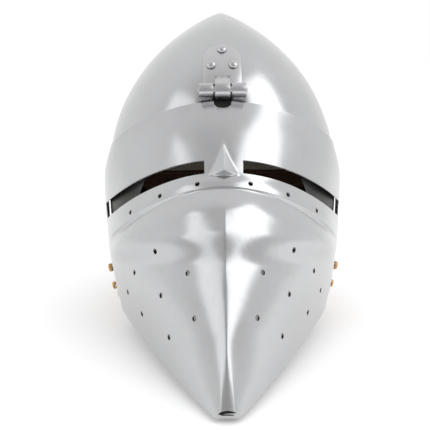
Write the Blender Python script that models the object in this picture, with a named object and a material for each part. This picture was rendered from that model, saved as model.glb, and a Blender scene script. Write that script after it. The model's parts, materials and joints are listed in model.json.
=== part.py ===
"""Steel bascinet with a single-hinge visor, modelled as separate pieces.

Metres, +Z up. The face looks along -Y and the wearer's plane of symmetry is X = 0.
The origin lies on the plane of the resting rim, under the middle of the helmet's length.
Helper functions give points as (x, forward, z), with forward measured from the ears;
to_world turns forward into -Y and moves the points to the origin.
"""
import math

import bmesh
import bpy
import numpy as np
from mathutils import Matrix, Vector

# ---- driving dimensions (metres) ----------------------------------------------------------
ORIGIN_FORWARD = 0.06254      # middle of the helmet's length, ahead of the ears
SKULL_HEIGHT = 0.262
EAR_HEIGHT = 0.115            # height of the widest section
SKULL_HALF_WIDTH = 0.101
RIM_HALF_WIDTH = 0.086
APEX_FORWARD = -0.045         # the point of the skull sits behind the middle
FRONT_REACH = 0.163           # from the apex line to the brow side of the widest section
BACK_REACH = 0.076            # from the apex line to the back of the widest section
SKULL_SHEET = 0.0018
SKULL_COLUMNS = 44            # facets round the skull
VISOR_SHEET = 0.0016
CONTACT_GAP = 0.0003          # left between faces that touch on the real helmet

PIN_FORWARD = 0.1115
PIN_HEIGHT = 0.1965
PIN_RADIUS = 0.0019
KNUCKLE_RADIUS = 0.0050
KNUCKLE_HALF_SPAN = 0.0175    # half the length of the row of knuckles
MIDDLE_KNUCKLE_HALF = 0.0060
KNUCKLE_GAP = 0.0006
LEAF_HALF_WIDTH = 0.0145
LEAF_LENGTH = 0.040
LEAF_SHEET = 0.0015
HINGE_RIVET_RADIUS = 0.0038

FACE_HALF_WIDTH = 0.074       # face opening at the cheeks
BROW_HEIGHT = 0.160           # top of the face opening

SLIT_TOP = 0.26               # position of the sights along the visor, 0 top edge, 1 lower edge
SLIT_BOTTOM = 0.34
SLIT_INNER = 0.085            # across the visor, 0 centre line, 1 side edge
SLIT_OUTER = 0.86
FLANGE_END = 0.455            # crease where the flange under the sights ends
FLANGE_PROUD = 0.0020
KEEL_HEIGHT = 0.0045
CHEEK_BULGE = 0.0030
BREATH_HOLE_RADIUS = 0.0020
FLANGE_HOLE_RADIUS = 0.0018
FLANGE_HOLE_LINE = 0.420      # position of the row of holes along the visor
NOTCH_HALF_WIDTH = 0.0064     # notch in the visor's top edge, round the middle knuckle
NOTCH_FOOT = 0.1838           # height of its lower end
SNOUT_FLAT = 0.0036           # half width of the flat that the keel ends in
SNOUT_FLAT_START = 0.84       # position along the visor where that flat begins
SNOUT_CUT = (0.2445, 0.0030)  # lower corner of the cut tip, forward and height
SNOUT_CUT_LEAN = math.radians(15)
LIP_HEIGHT = 0.0026           # lip that closes the bottom of the cut

BAND_SHEET = 0.0024
BAND_END = math.radians(47)   # angle off the brow where the leather band stops
TAB_ANGLES = (57, 70)         # degrees off the brow that the tab below the band takes up, at +X
TAB_FOOT = 0.0022             # height of the tab's lower edge
VERVELLE_RADIUS = 0.0035
VERVELLE_HEIGHT = 0.0065
VERVELLE_BORE = 0.0013
VERVELLE_DROP = 0.004         # vervelles sit this much below the band's middle
VERVELLE_ANGLES = (56, 78, 101, 123, 146, 168)   # degrees off the brow, each side
UPPER_VERVELLE = (67, 0.046)                     # degrees off the brow, height

LINER_RIVET_RADIUS = 0.0036
LINER_RIVET_HEIGHT = 0.0022
LINER_RIVET_ANGLES = (20, 100, 130, 160)         # degrees off the brow, each side
LINER_BAND_WIDTH = 0.020
LINER_BAND_SHEET = 0.0022
LINER_PAD = 0.0090
LINER_CLEARANCE = 0.0009      # the facets of the skull's inside come this much inwards
LINER_TOP = 0.236             # upper edge of the quilted crown, round the drawstring opening
CROWN_CLEARANCE = 0.0012      # the crown hangs this much further in than the liner band

STRAP_WIDTH = 0.016
STRAP_SHEET = 0.0024
STRAP_FORWARD = 0.045         # middle of the straps
STRAP_TOP = 0.040
STRAP_FLOOR = 0.0014          # clear of the surface the helmet stands on
BEND_RADIUS = 0.010
STRAP_RIVET_RADIUS = 0.0034
STRAP_RIVET_HEIGHT = 0.0020
BUCKLE_X = -0.030             # bar of the buckle, on the end of the left strap
BUCKLE_WIRE = 0.0013
BUCKLE_LENGTH = 0.016
BUCKLE_MARGIN = 0.0035        # the frame reaches this far past each edge of the strap
BUCKLE_CORNER = 0.003
TONGUE_WIRE = 0.0008
HINGE_RIVET_HEIGHT = 0.0026

# Sections of the visor from its top edge to its lower edge. Each gives: position, centre forward
# and height, side half width, forward and height, then the fullness of the front and the sides.
VISOR_SECTIONS = (
    (0.00, 0.1125, 0.1885, 0.0930, 0.048, 0.150, 2.00, 2.00),
    (0.12, 0.1290, 0.1705, 0.1020, 0.024, 0.125, 1.95, 2.00),
    (0.26, 0.1450, 0.1495, 0.1034, 0.018, 0.096, 1.90, 2.00),
    (0.34, 0.1510, 0.1410, 0.1018, 0.026, 0.083, 1.85, 2.00),
    (0.46, 0.1590, 0.1310, 0.0990, 0.040, 0.066, 1.80, 1.95),
    (0.70, 0.2000, 0.0800, 0.0915, 0.068, 0.041, 1.50, 1.58),
    (1.00, 0.2500, 0.0030, 0.0828, 0.094, 0.020, 1.05, 1.12),
)
UPPER_DROOP = 1.7             # how early the upper sections fall away from the centre line


def turned(direction):
    """A direction given as (x, forward, z), in world axes."""
    return Vector((direction[0], -direction[1], direction[2]))


def to_world(point):
    """A point given as (x, forward, z), in the frame whose origin is under the helmet's middle."""
    return turned(point) + Vector((0, ORIGIN_FORWARD, 0))


# ---- skull surface ------------------------------------------------------------------------
ARCH_RADIUS = ((SKULL_HALF_WIDTH**2 + (SKULL_HEIGHT - EAR_HEIGHT)**2) / (2 * SKULL_HALF_WIDTH))


def skull_half_width(z):
    """Pointed arch above the ears, a gentle taper below them."""
    if z > EAR_HEIGHT:
        rise = z - EAR_HEIGHT
        share = rise / (SKULL_HEIGHT - EAR_HEIGHT)
        arch = math.sqrt(max(ARCH_RADIUS**2 - rise**2, 0.0)) - (ARCH_RADIUS - SKULL_HALF_WIDTH)
        return max(arch, 0.0) * (1 - 0.12 * share**6)
    fall = (EAR_HEIGHT - z) / EAR_HEIGHT
    return SKULL_HALF_WIDTH - (SKULL_HALF_WIDTH - RIM_HALF_WIDTH) * fall**2


def skull_front(z):
    if z > EAR_HEIGHT:
        share = min((z - EAR_HEIGHT) / (SKULL_HEIGHT - EAR_HEIGHT), 1.0)
        return APEX_FORWARD + FRONT_REACH * math.sqrt(1 - share**3)
    return APEX_FORWARD + FRONT_REACH - 0.008 * ((EAR_HEIGHT - z) / EAR_HEIGHT)**1.5


def skull_back(z):
    if z > EAR_HEIGHT:
        share = min((z - EAR_HEIGHT) / (SKULL_HEIGHT - EAR_HEIGHT), 1.0)
        return APEX_FORWARD - BACK_REACH * (1 - share**2)**0.8
    return APEX_FORWARD - BACK_REACH + 0.012 * ((EAR_HEIGHT - z) / EAR_HEIGHT)**2


def section_fullness(z):
    """Exponent of the horizontal section, squarer at the cheeks than at the crown."""
    share = min(max((z - 0.05) / 0.12, 0.0), 1.0)
    return 2.5 - 0.35 * share


def signed_power(value, power):
    return math.copysign(abs(value)**power, value)


def skull_point(z, angle):
    """Point on the outside of the skull; angle 0 is the brow, pi the nape."""
    front = skull_front(z)
    back = skull_back(z)
    power = 2 / section_fullness(z)
    half = (front - back) / 2
    x = skull_half_width(z) * signed_power(math.sin(angle), power)
    forward = (front + back) / 2 + half * signed_power(math.cos(angle), power)
    return np.array((x, forward, z))


def skull_normal(z, angle):
    step = 0.0005
    along = skull_point(z, angle + 0.004) - skull_point(z, angle - 0.004)
    up = skull_point(min(z + step, SKULL_HEIGHT), angle) - skull_point(z - step, angle)
    normal = np.cross(along, up)
    length = np.linalg.norm(normal)
    if length < 1e-12:
        return np.array((0.0, 0.0, 1.0))
    normal /= length
    middle = np.array((0.0, (skull_front(z) + skull_back(z)) / 2, EAR_HEIGHT))
    return normal if normal @ (skull_point(z, angle) - middle) > 0 else -normal


def skull_offset(z, angle, distance):
    return skull_point(z, angle) + distance * skull_normal(z, angle)


# ---- visor surface ------------------------------------------------------------------------
def blend_sections(t):
    """Smooth curve through the visor's sections (cubic, slopes from the neighbours)."""
    rows = np.array(VISOR_SECTIONS)
    places = rows[:, 0]
    slopes = np.gradient(rows, places, axis=0)
    i = min(max(int(np.searchsorted(places, t, side="right")) - 1, 0), len(places) - 2)
    span = places[i + 1] - places[i]
    s = (t - places[i]) / span
    return ((2 * s**3 - 3 * s**2 + 1) * rows[i] + (s**3 - 2 * s**2 + s) * span * slopes[i]
            + (3 * s**2 - 2 * s**3) * rows[i + 1] + (s**3 - s**2) * span * slopes[i + 1])


def smoothstep(low, high, value):
    share = min(max((value - low) / (high - low), 0.0), 1.0)
    return share * share * (3 - 2 * share)


def visor_base(t, s):
    """Point on the plain visor surface; t runs down it, s from -1 to 1 across it."""
    _, centre, top, width, side, low, front_full, side_full = blend_sections(t)
    angle = abs(s) * math.pi / 2
    reach = max(math.cos(angle), 0.0)**(2 / front_full)
    droop = 1 + (UPPER_DROOP - 1) * (1 - smoothstep(0.5, 1.0, t))
    flat = SNOUT_FLAT * smoothstep(SNOUT_FLAT_START, 1.0, t)
    x = flat * min(abs(s) / 0.05, 1.0) + (width - flat) * math.sin(angle)**(2 / side_full)
    x = math.copysign(x, s)
    return np.array((x, side + (centre - side) * reach, low + (top - low) * reach**droop))


def visor_normal(t, s):
    step = 0.004
    t0, t1 = max(t - step, 0.0), min(t + step, 1.0)
    s0, s1 = max(s - step, -1.0), min(s + step, 1.0)
    down = visor_base(t1, s) - visor_base(t0, s)
    across = visor_base(t, s1) - visor_base(t, s0)
    normal = np.cross(down, across)
    normal /= np.linalg.norm(normal)
    middle = np.array((0.0, 0.0, 0.08))
    return normal if normal @ (visor_base(t, s) - middle) > 0 else -normal


def visor_relief(t, s):
    """Height of the raised details over the plain visor surface."""
    x = abs(visor_base(t, s)[0])
    flange = FLANGE_PROUD * smoothstep(SLIT_BOTTOM - 0.02, SLIT_BOTTOM + 0.05, t)
    flange *= 1 - smoothstep(FLANGE_END, FLANGE_END + 0.012, t)
    flange *= smoothstep(0.0, 0.25, abs(s)) * (1 - smoothstep(0.55, 0.85, abs(s)))
    keel_width = 0.011 * smoothstep(0.20, 0.345, t)
    keel = 0.0
    if 0.20 < t < 0.375 and keel_width > 0:
        keel = KEEL_HEIGHT * max(1 - x / keel_width, 0.0) * smoothstep(0.20, 0.345, t)
        keel *= 1 - smoothstep(0.345, 0.375, t)
    bulge = CHEEK_BULGE * smoothstep(FLANGE_END, 0.56, t) * (1 - smoothstep(0.60, 0.74, t))
    bulge *= 1 - smoothstep(0.65, 0.95, abs(s))
    return flange + keel + bulge


def visor_point(t, s, depth=0.0):
    """Point on the visor's outside, or that far under it."""
    return visor_base(t, s) + (visor_relief(t, s) - depth) * visor_normal(t, s)


# ---- mesh helpers -------------------------------------------------------------------------
def make_material(name, colour, metallic, roughness):
    material = bpy.data.materials.new(name)
    material.use_nodes = True
    shader = material.node_tree.nodes["Principled BSDF"]
    shader.inputs["Base Color"].default_value = (*colour, 1.0)
    shader.inputs["Metallic"].default_value = metallic
    shader.inputs["Roughness"].default_value = roughness
    material.diffuse_color = (*colour, 1.0)
    return material


def add_object(name, mesh, material, matrix=None, smooth_angle=35):
    if not mesh.materials:
        mesh.materials.append(material)
        mesh.shade_smooth()
        mesh.set_sharp_from_angle(angle=math.radians(smooth_angle))
    item = bpy.data.objects.new(name, mesh)
    bpy.context.scene.collection.objects.link(item)
    if matrix is not None:
        item.matrix_world = matrix
    return item


def mesh_from(bm, name):
    bmesh.ops.recalc_face_normals(bm, faces=bm.faces)
    mesh = bpy.data.meshes.new(name)
    bm.to_mesh(mesh)
    bm.free()
    return mesh


def sheet_mesh(name, outer, inner, closed_across, missing=frozenset()):
    """Closed sheet between two grids of points; missing cells are left open."""
    bm = bmesh.new()
    rows, columns = len(outer), len(outer[0])
    grids = [[[bm.verts.new(to_world(p)) for p in row] for row in grid] for grid in (outer, inner)]
    spans = columns if closed_across else columns - 1

    def present(i, j):
        if closed_across:
            j %= columns
        inside = 0 <= i < rows - 1 and 0 <= j < spans
        return inside and (i, j) not in missing

    for i in range(rows - 1):
        for j in range(spans):
            if not present(i, j):
                continue
            k = (j + 1) % columns
            top, base = grids
            bm.faces.new((top[i][j], top[i][k], top[i + 1][k], top[i + 1][j]))
            bm.faces.new((base[i][j], base[i + 1][j], base[i + 1][k], base[i][k]))
            edges = ((i - 1, j, (i, j), (i, k)), (i + 1, j, (i + 1, k), (i + 1, j)),
                     (i, j - 1, (i + 1, j), (i, j)), (i, j + 1, (i, k), (i + 1, k)))
            for ni, nj, a, b in edges:
                if not present(ni, nj):
                    bm.faces.new((top[b[0]][b[1]], top[a[0]][a[1]],
                                  base[a[0]][a[1]], base[b[0]][b[1]]))
    loose = [v for v in bm.verts if not v.link_faces]
    bmesh.ops.delete(bm, geom=loose, context="VERTS")
    return mesh_from(bm, name)


def prism(name, outline, near, far, axis):
    """Cutter with the outline (a, b) run along one axis: 'forward' or 'x'."""
    bm = bmesh.new()
    rings = []
    for depth in (near, far):
        if axis == "forward":
            ring = [bm.verts.new(to_world((a, depth, b))) for a, b in outline]
        else:
            ring = [bm.verts.new(to_world((depth, a, b))) for a, b in outline]
        rings.append(ring)
    count = len(outline)
    bm.faces.new(rings[0])
    bm.faces.new(list(reversed(rings[1])))
    for i in range(count):
        j = (i + 1) % count
        bm.faces.new((rings[0][i], rings[0][j], rings[1][j], rings[1][i]))
    return make_cutter(name, mesh_from(bm, name))


def make_cutter(name, mesh):
    cutter = bpy.data.objects.new(name, mesh)
    cutter.hide_render = True
    cutter.display_type = "WIRE"
    bpy.context.scene.collection.objects.link(cutter)
    return cutter


def cut(item, cutter):
    modifier = item.modifiers.new("cut_" + cutter.name, "BOOLEAN")
    modifier.operation = "DIFFERENCE"
    modifier.object = cutter


def aligned(origin, direction, up=(0, 0, 1)):
    """Matrix whose Z axis is the direction and whose X axis is close to the given up."""
    z_axis = Vector(direction).normalized()
    x_axis = Vector(up) - z_axis * Vector(up).dot(z_axis)
    if x_axis.length < 1e-6:
        x_axis = Vector((1, 0, 0)) - z_axis * z_axis.x
    x_axis.normalize()
    y_axis = z_axis.cross(x_axis)
    matrix = Matrix((x_axis, y_axis, z_axis)).transposed().to_4x4()
    matrix.translation = origin
    return matrix


def dome_mesh(name, radius, height, sides=14):
    """Rivet head: a low dome on a flat base, axis along Z."""
    bm = bmesh.new()
    rings = ((1.0, 0.0), (1.0, 0.25), (0.78, 0.68), (0.42, 0.93))
    loops = []
    for share, rise in rings:
        loops.append([bm.verts.new((radius * share * math.cos(a), radius * share * math.sin(a),
                                    height * rise))
                      for a in (2 * math.pi * i / sides for i in range(sides))])
    top = bm.verts.new((0, 0, height))
    bm.faces.new(list(reversed(loops[0])))
    for low, high in zip(loops, loops[1:]):
        for i in range(sides):
            j = (i + 1) % sides
            bm.faces.new((low[i], low[j], high[j], high[i]))
    for i in range(sides):
        bm.faces.new((loops[-1][i], loops[-1][(i + 1) % sides], top))
    return mesh_from(bm, name)


def tube_mesh(name, outer, inner, start, end, sides=20):
    """Straight round tube along X, or a rod where inner is 0."""
    bm = bmesh.new()

    def ring(radius, x):
        angles = (2 * math.pi * i / sides for i in range(sides))
        return [bm.verts.new((x, radius * math.cos(a), radius * math.sin(a))) for a in angles]

    outside = (ring(outer, start), ring(outer, end))
    if inner:
        inside = (ring(inner, start), ring(inner, end))
        pairs = (outside, (inside[1], inside[0]), (inside[0], outside[0]), (outside[1], inside[1]))
    else:
        pairs = (outside,)
        bm.faces.new(outside[0])
        bm.faces.new(outside[1])
    for low, high in pairs:
        for i in range(sides):
            j = (i + 1) % sides
            bm.faces.new((low[i], low[j], high[j], high[i]))
    return mesh_from(bm, name)


# ---- skull --------------------------------------------------------------------------------
def spaced(low, high, count):
    return [low + (high - low) * i / (count - 1) for i in range(count)]


def build_skull(steel):
    """Raised skull with the face opening cut out and its lower front corners rounded."""
    columns = SKULL_COLUMNS
    angles = [2 * math.pi * j / columns for j in range(columns)]
    rise = [math.sin(math.pi / 2 * share) for share in spaced(0, 1, 12)]
    heights = spaced(0, EAR_HEIGHT, 7)[:-1]
    heights += [EAR_HEIGHT + (SKULL_HEIGHT - 0.002 - EAR_HEIGHT) * share for share in rise]
    bm = bmesh.new()
    loops = []
    for z in heights:
        loops.append([bm.verts.new(to_world(skull_point(z, a))) for a in angles])
    apex = bm.verts.new(to_world((0, APEX_FORWARD, SKULL_HEIGHT)))
    inner_loops = []
    for z in heights:
        ring = []
        for a in angles:
            point = skull_offset(z, a, -SKULL_SHEET)
            if z == 0:
                point[2] = 0.0
            ring.append(bm.verts.new(to_world(point)))
        inner_loops.append(ring)
    top_inner = max(v.co.z for v in inner_loops[-1])
    inner_apex = bm.verts.new(to_world((0, APEX_FORWARD, top_inner + 0.0004)))
    for group, point in ((loops, apex), (inner_loops, inner_apex)):
        for low, high in zip(group, group[1:]):
            for j in range(columns):
                k = (j + 1) % columns
                bm.faces.new((low[j], low[k], high[k], high[j]))
        for j in range(columns):
            bm.faces.new((group[-1][j], group[-1][(j + 1) % columns], point))
    for j in range(columns):
        k = (j + 1) % columns
        bm.faces.new((loops[0][j], inner_loops[0][j], inner_loops[0][k], loops[0][k]))
    skull = add_object("skull", mesh_from(bm, "skull"), steel)

    arch = [(FACE_HALF_WIDTH * 0.90 * math.cos(a), 0.105 + (BROW_HEIGHT - 0.105) * math.sin(a))
            for a in (math.pi * i / 14 for i in range(15))]
    outline = [(FACE_HALF_WIDTH, -0.01)] + arch + [(-FACE_HALF_WIDTH, -0.01)]
    cut(skull, prism("face_cutter", outline, 0.02, 0.20, "forward"))
    corner = [(0.052 + 0.034 * math.sin(a), 0.030 * (1 - math.cos(a)))
              for a in (math.pi / 2 * i / 6 for i in range(7))]
    outline = [(0.045, -0.01), (0.045, -0.0002), (0.052, -0.0002)] + corner[1:]
    outline += [(0.15, 0.030), (0.15, -0.01)]
    cut(skull, prism("rim_corner_cutter", outline, -0.12, 0.12, "x"))
    return skull


# ---- visor --------------------------------------------------------------------------------
def visor_rows():
    upper = spaced(0, SLIT_TOP, 7)[:-1]
    band = [SLIT_TOP, (SLIT_TOP + SLIT_BOTTOM) / 2, SLIT_BOTTOM, 0.365, 0.41, FLANGE_END, 0.468]
    return upper + band + spaced(0.505, 1.0, 14)


def visor_columns():
    half = [0.0, 0.042, SLIT_INNER] + spaced(SLIT_INNER, SLIT_OUTER, 13)[1:] + [0.93, 1.0]
    return [-s for s in reversed(half[1:])] + half


def breath_hole_places():
    """Staggered rows of breaths, mirrored: (t, s) on the right side of the face."""
    right = [(0.610, 0.37), (0.685, 0.23), (0.655, 0.55), (0.745, 0.40),
             (0.750, 0.66), (0.840, 0.57), (0.800, 0.23), (0.875, 0.40)]
    return [(t, side * s) for t, s in right for side in (1, -1)]


def flange_hole_places():
    return [(FLANGE_HOLE_LINE, side * s) for s in (0.12, 0.30, 0.48) for side in (1, -1)]


def build_visor(steel):
    rows = visor_rows()
    columns = visor_columns()
    outer = [[visor_point(t, s) for s in columns] for t in rows]
    inner = [[visor_point(t, s, VISOR_SHEET) for s in columns] for t in rows]
    missing = set()
    for i, t in enumerate(rows[:-1]):
        for j, s in enumerate(columns[:-1]):
            across = abs(s + columns[j + 1]) / 2
            if SLIT_TOP - 1e-6 <= t < SLIT_BOTTOM - 1e-6 and SLIT_INNER < across < SLIT_OUTER:
                missing.add((i, j))
    visor_mesh = sheet_mesh("visor", outer, inner, False, missing)
    pivot = to_world((0, PIN_FORWARD, PIN_HEIGHT))
    visor_mesh.transform(Matrix.Translation(-pivot))
    visor = add_object("visor", visor_mesh, steel, Matrix.Translation(pivot))
    bm = bmesh.new()
    holes = [(t, s, BREATH_HOLE_RADIUS) for t, s in breath_hole_places()]
    holes += [(t, s, FLANGE_HOLE_RADIUS) for t, s in flange_hole_places()]
    for t, s, radius in holes:
        place = aligned(to_world(visor_point(t, s, VISOR_SHEET / 2)), turned(visor_normal(t, s)))
        bmesh.ops.create_cone(bm, cap_ends=True, segments=8, radius1=radius, radius2=radius,
                              depth=0.010, matrix=place)
    cut(visor, make_cutter("breath_cutter", mesh_from(bm, "breath_cutter")))
    cut_tip(visor)
    notch = knuckle_notch()
    cut(visor, notch)
    return notch


def knuckle_notch():
    """Cutter with a rounded foot that clears the middle knuckle."""
    half = NOTCH_HALF_WIDTH
    outline = [(half, PIN_HEIGHT + 0.01), (-half, PIN_HEIGHT + 0.01)]
    outline += [(half * math.cos(a), NOTCH_FOOT + 0.5 * half * (1 + math.sin(a)))
                for a in spaced(-math.pi, 0, 7)]
    return prism("knuckle_notch", outline, PIN_FORWARD - 0.02, PIN_FORWARD + 0.02, "forward")


def cut_tip(visor):
    """Cut the tip of the snout off and close the bottom of the cut with a lip."""
    forward, height = SNOUT_CUT
    along = (math.sin(SNOUT_CUT_LEAN), math.cos(SNOUT_CUT_LEAN))
    outward = (math.cos(SNOUT_CUT_LEAN), -math.sin(SNOUT_CUT_LEAN))
    corners = ((-0.02, 0.0), (0.04, 0.0), (0.04, 0.05), (-0.02, 0.05))
    outline = [(forward + a * along[0] + b * outward[0], height + a * along[1] + b * outward[1])
               for a, b in corners]
    cut(visor, prism("snout_cutter", outline, -0.03, 0.03, "x"))
    bm = bmesh.new()
    rings = []
    for depth in (0.0002, 0.0016):
        ring = []
        for half, rise in ((-0.0066, 0.0002), (0.0066, 0.0002), (0.0048, LIP_HEIGHT),
                           (-0.0048, LIP_HEIGHT)):
            ring.append(bm.verts.new(to_world((half, forward + rise * along[0] - depth,
                                               height + rise * along[1]))))
        rings.append(ring)
    bm.faces.new(rings[0])
    bm.faces.new(rings[1])
    for i in range(4):
        j = (i + 1) % 4
        bm.faces.new((rings[0][i], rings[0][j], rings[1][j], rings[1][i]))
    join_into(visor, bpy.data.objects.new("lip", mesh_from(bm, "lip")), Matrix.Identity(4))


# ---- hinge --------------------------------------------------------------------------------
def leaf_rows(length, count):
    """Angles down the brow that the skull leaf lies along, as heights on the centre line."""
    start = PIN_HEIGHT + 0.0035
    heights = [start]
    while len(heights) < count:
        z = heights[-1]
        travelled = 0.0
        while travelled < length / (count - 1):
            step = 0.0002
            travelled += math.hypot(step, skull_front(z + step) - skull_front(z))
            z += step
        heights.append(z)
    return heights


def angle_at(z, x):
    """Angle on the skull section at height z where the surface is x off the centre line."""
    share = min(abs(x) / skull_half_width(z), 1.0)
    return math.copysign(math.asin(share**(section_fullness(z) / 2)), x)


def build_hinge(steel, notch):
    heights = leaf_rows(LEAF_LENGTH, 8)
    rows = []
    for i, z in enumerate(heights):
        share = i / (len(heights) - 1)
        half = LEAF_HALF_WIDTH * math.sqrt(max(1 - max((share - 0.55) / 0.46, 0.0)**2, 0.02))
        rows.append([(z, x) for x in (half * k / 4 for k in range(-4, 5))])
    under = CONTACT_GAP
    outer = [[skull_offset(z, angle_at(z, x), under + LEAF_SHEET) for z, x in r] for r in rows]
    inner = [[skull_offset(z, angle_at(z, x), under) for z, x in r] for r in rows]
    leaf = add_object("skull_hinge_leaf", sheet_mesh("leaf", outer, inner, False), steel)

    place = Matrix.Translation(to_world((0, PIN_FORWARD, PIN_HEIGHT)))
    bore = PIN_RADIUS + CONTACT_GAP
    middle = MIDDLE_KNUCKLE_HALF
    knuckle = bpy.data.objects.new("middle_knuckle",
                                   tube_mesh("middle", KNUCKLE_RADIUS, bore, -middle, middle))
    join_into(leaf, knuckle, place)
    web = leaf_web(rows, under)
    join_into(leaf, web, Matrix.Identity(4))
    bore_cutter = make_cutter("pin_bore", tube_mesh("pin_bore", bore, 0, -0.03, 0.03))
    bore_cutter.matrix_world = place
    cut(leaf, bore_cutter)

    pin_mesh = tube_mesh("hinge_pin", PIN_RADIUS, 0, -KNUCKLE_HALF_SPAN - 0.001,
                         KNUCKLE_HALF_SPAN + 0.001)
    add_object("hinge_pin", pin_mesh, steel, place)

    visor_leaf = build_visor_leaf(steel, place, bore)
    cut(visor_leaf, bore_cutter)
    cut(visor_leaf, notch)

    head = dome_mesh("hinge_rivet", HINGE_RIVET_RADIUS, HINGE_RIVET_HEIGHT)
    low = heights[0] + 0.47 * (heights[-1] - heights[0])
    high = heights[0] + 0.86 * (heights[-1] - heights[0])
    for name, z, x in (("hinge_rivet_top", high, 0.0), ("hinge_rivet_left", low, -0.0083),
                       ("hinge_rivet_right", low, 0.0083)):
        angle = angle_at(z, x)
        seat = skull_offset(z, angle, under + LEAF_SHEET + CONTACT_GAP)
        add_object(name, head, steel, aligned(to_world(seat), turned(skull_normal(z, angle))))


def join_into(target, extra, matrix):
    """Union a hidden helper into a piece."""
    extra.matrix_world = matrix
    extra.hide_render = True
    extra.display_type = "WIRE"
    bpy.context.scene.collection.objects.link(extra)
    modifier = target.modifiers.new("join_" + extra.name, "BOOLEAN")
    modifier.operation = "UNION"
    modifier.object = extra


def leaf_web(rows, under):
    """Tongue that carries the leaf over into the middle knuckle."""
    z, _ = rows[0][4]
    foot = skull_offset(z, 0.0, under + LEAF_SHEET)
    heel = skull_offset(z, 0.0, under)
    high = skull_offset(z + 0.004, 0.0, under + LEAF_SHEET)
    half = MIDDLE_KNUCKLE_HALF
    outline = [(heel[1], heel[2]), (PIN_FORWARD - 0.0012, PIN_HEIGHT - 0.0022),
               (PIN_FORWARD + 0.0026, PIN_HEIGHT + 0.0030), (high[1], high[2]),
               (foot[1] - 0.0004, foot[2] + 0.0008)]
    bm = bmesh.new()
    rings = [[bm.verts.new(to_world((x, a, b))) for a, b in outline] for x in (-half, half)]
    bm.faces.new(rings[0])
    bm.faces.new(rings[1])
    for i in range(len(outline)):
        j = (i + 1) % len(outline)
        bm.faces.new((rings[0][i], rings[0][j], rings[1][j], rings[1][i]))
    return bpy.data.objects.new("leaf_web", mesh_from(bm, "leaf_web"))


def web_outline(x, near):
    """Side outline of the web between an outer knuckle and the visor's leaf, at one place across."""
    s = math.asin(min(x / VISOR_SECTIONS[0][3], 1.0)) * 2 / math.pi
    edge = visor_point(0.0, s, VISOR_SHEET)
    middle = visor_point(0.012, s, near + LEAF_SHEET / 2)
    back = visor_point(0.012, s, near + LEAF_SHEET - 0.0002)
    return [(PIN_FORWARD - 0.0032, PIN_HEIGHT - 0.0018), (PIN_FORWARD - 0.0006, PIN_HEIGHT - 0.0038),
            (edge[1] - 0.0005, edge[2] + 0.0012), (middle[1], middle[2]), (back[1], back[2]),
            (edge[1] - 0.0020, edge[2] + 0.0004)]


def build_visor_leaf(steel, place, bore):
    """Leaf inside the visor whose two outer knuckles take the pin."""
    ts = spaced(0.004, 0.10, 5)
    ss = spaced(-0.092, 0.092, 7)
    near = VISOR_SHEET + CONTACT_GAP
    outer = [[visor_point(t, s, near) for s in ss] for t in ts]
    inner = [[visor_point(t, s, near + LEAF_SHEET) for s in ss] for t in ts]
    leaf_mesh = sheet_mesh("visor_hinge_leaf", outer, inner, False)
    pivot = to_world((0, PIN_FORWARD, PIN_HEIGHT))
    leaf_mesh.transform(Matrix.Translation(-pivot))
    leaf = add_object("visor_hinge_leaf", leaf_mesh, steel, place)
    for side in (-1, 1):
        ends = sorted((side * (MIDDLE_KNUCKLE_HALF + KNUCKLE_GAP), side * KNUCKLE_HALF_SPAN))
        tube = tube_mesh("outer", KNUCKLE_RADIUS, bore, ends[0], ends[1])
        join_into(leaf, bpy.data.objects.new("outer_knuckle", tube), place)
        bm = bmesh.new()
        rings = [[bm.verts.new(to_world((side * x, a, b))) for a, b in web_outline(x, near)]
                 for x in (MIDDLE_KNUCKLE_HALF + 2 * KNUCKLE_GAP, LEAF_HALF_WIDTH - 0.0005)]
        bm.faces.new(rings[0])
        bm.faces.new(rings[1])
        for i in range(len(rings[0])):
            j = (i + 1) % len(rings[0])
            bm.faces.new((rings[0][i], rings[0][j], rings[1][j]))
            bm.faces.new((rings[0][i], rings[1][j], rings[1][i]))
        join_into(leaf, bpy.data.objects.new("knuckle_web", mesh_from(bm, "web")),
                  Matrix.Identity(4))
    return leaf


# ---- aventail fixings ---------------------------------------------------------------------
def band_height(angle):
    """Middle of the leather band: level round the nape, rising at the cheeks."""
    return 0.024 + 0.010 * smoothstep(0.0, 1.0, (math.cos(angle) + 0.1) / 0.8)


def band_half_width(angle):
    """Half the band's width, wider at the cheeks."""
    return 0.0085 + 0.0095 * smoothstep(0.0, 1.0, (math.cos(angle) + 0.1) / 0.8)


def build_band(leather):
    columns = spaced(BAND_END, 2 * math.pi - BAND_END, 41)
    outer, inner = [], []
    for share in (-1.0, 0.0, 1.0):
        places = [(band_height(a) + share * band_half_width(a), a) for a in columns]
        if share < 0:
            first, last = TAB_ANGLES
            places = [(TAB_FOOT if first < math.degrees(a) < last else z, a) for z, a in places]
        outer.append([skull_offset(z, a, CONTACT_GAP * 2 + BAND_SHEET) for z, a in places])
        inner.append([skull_offset(z, a, CONTACT_GAP * 2) for z, a in places])
    add_object("aventail_band", sheet_mesh("aventail_band", outer, inner, False), leather)


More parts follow.
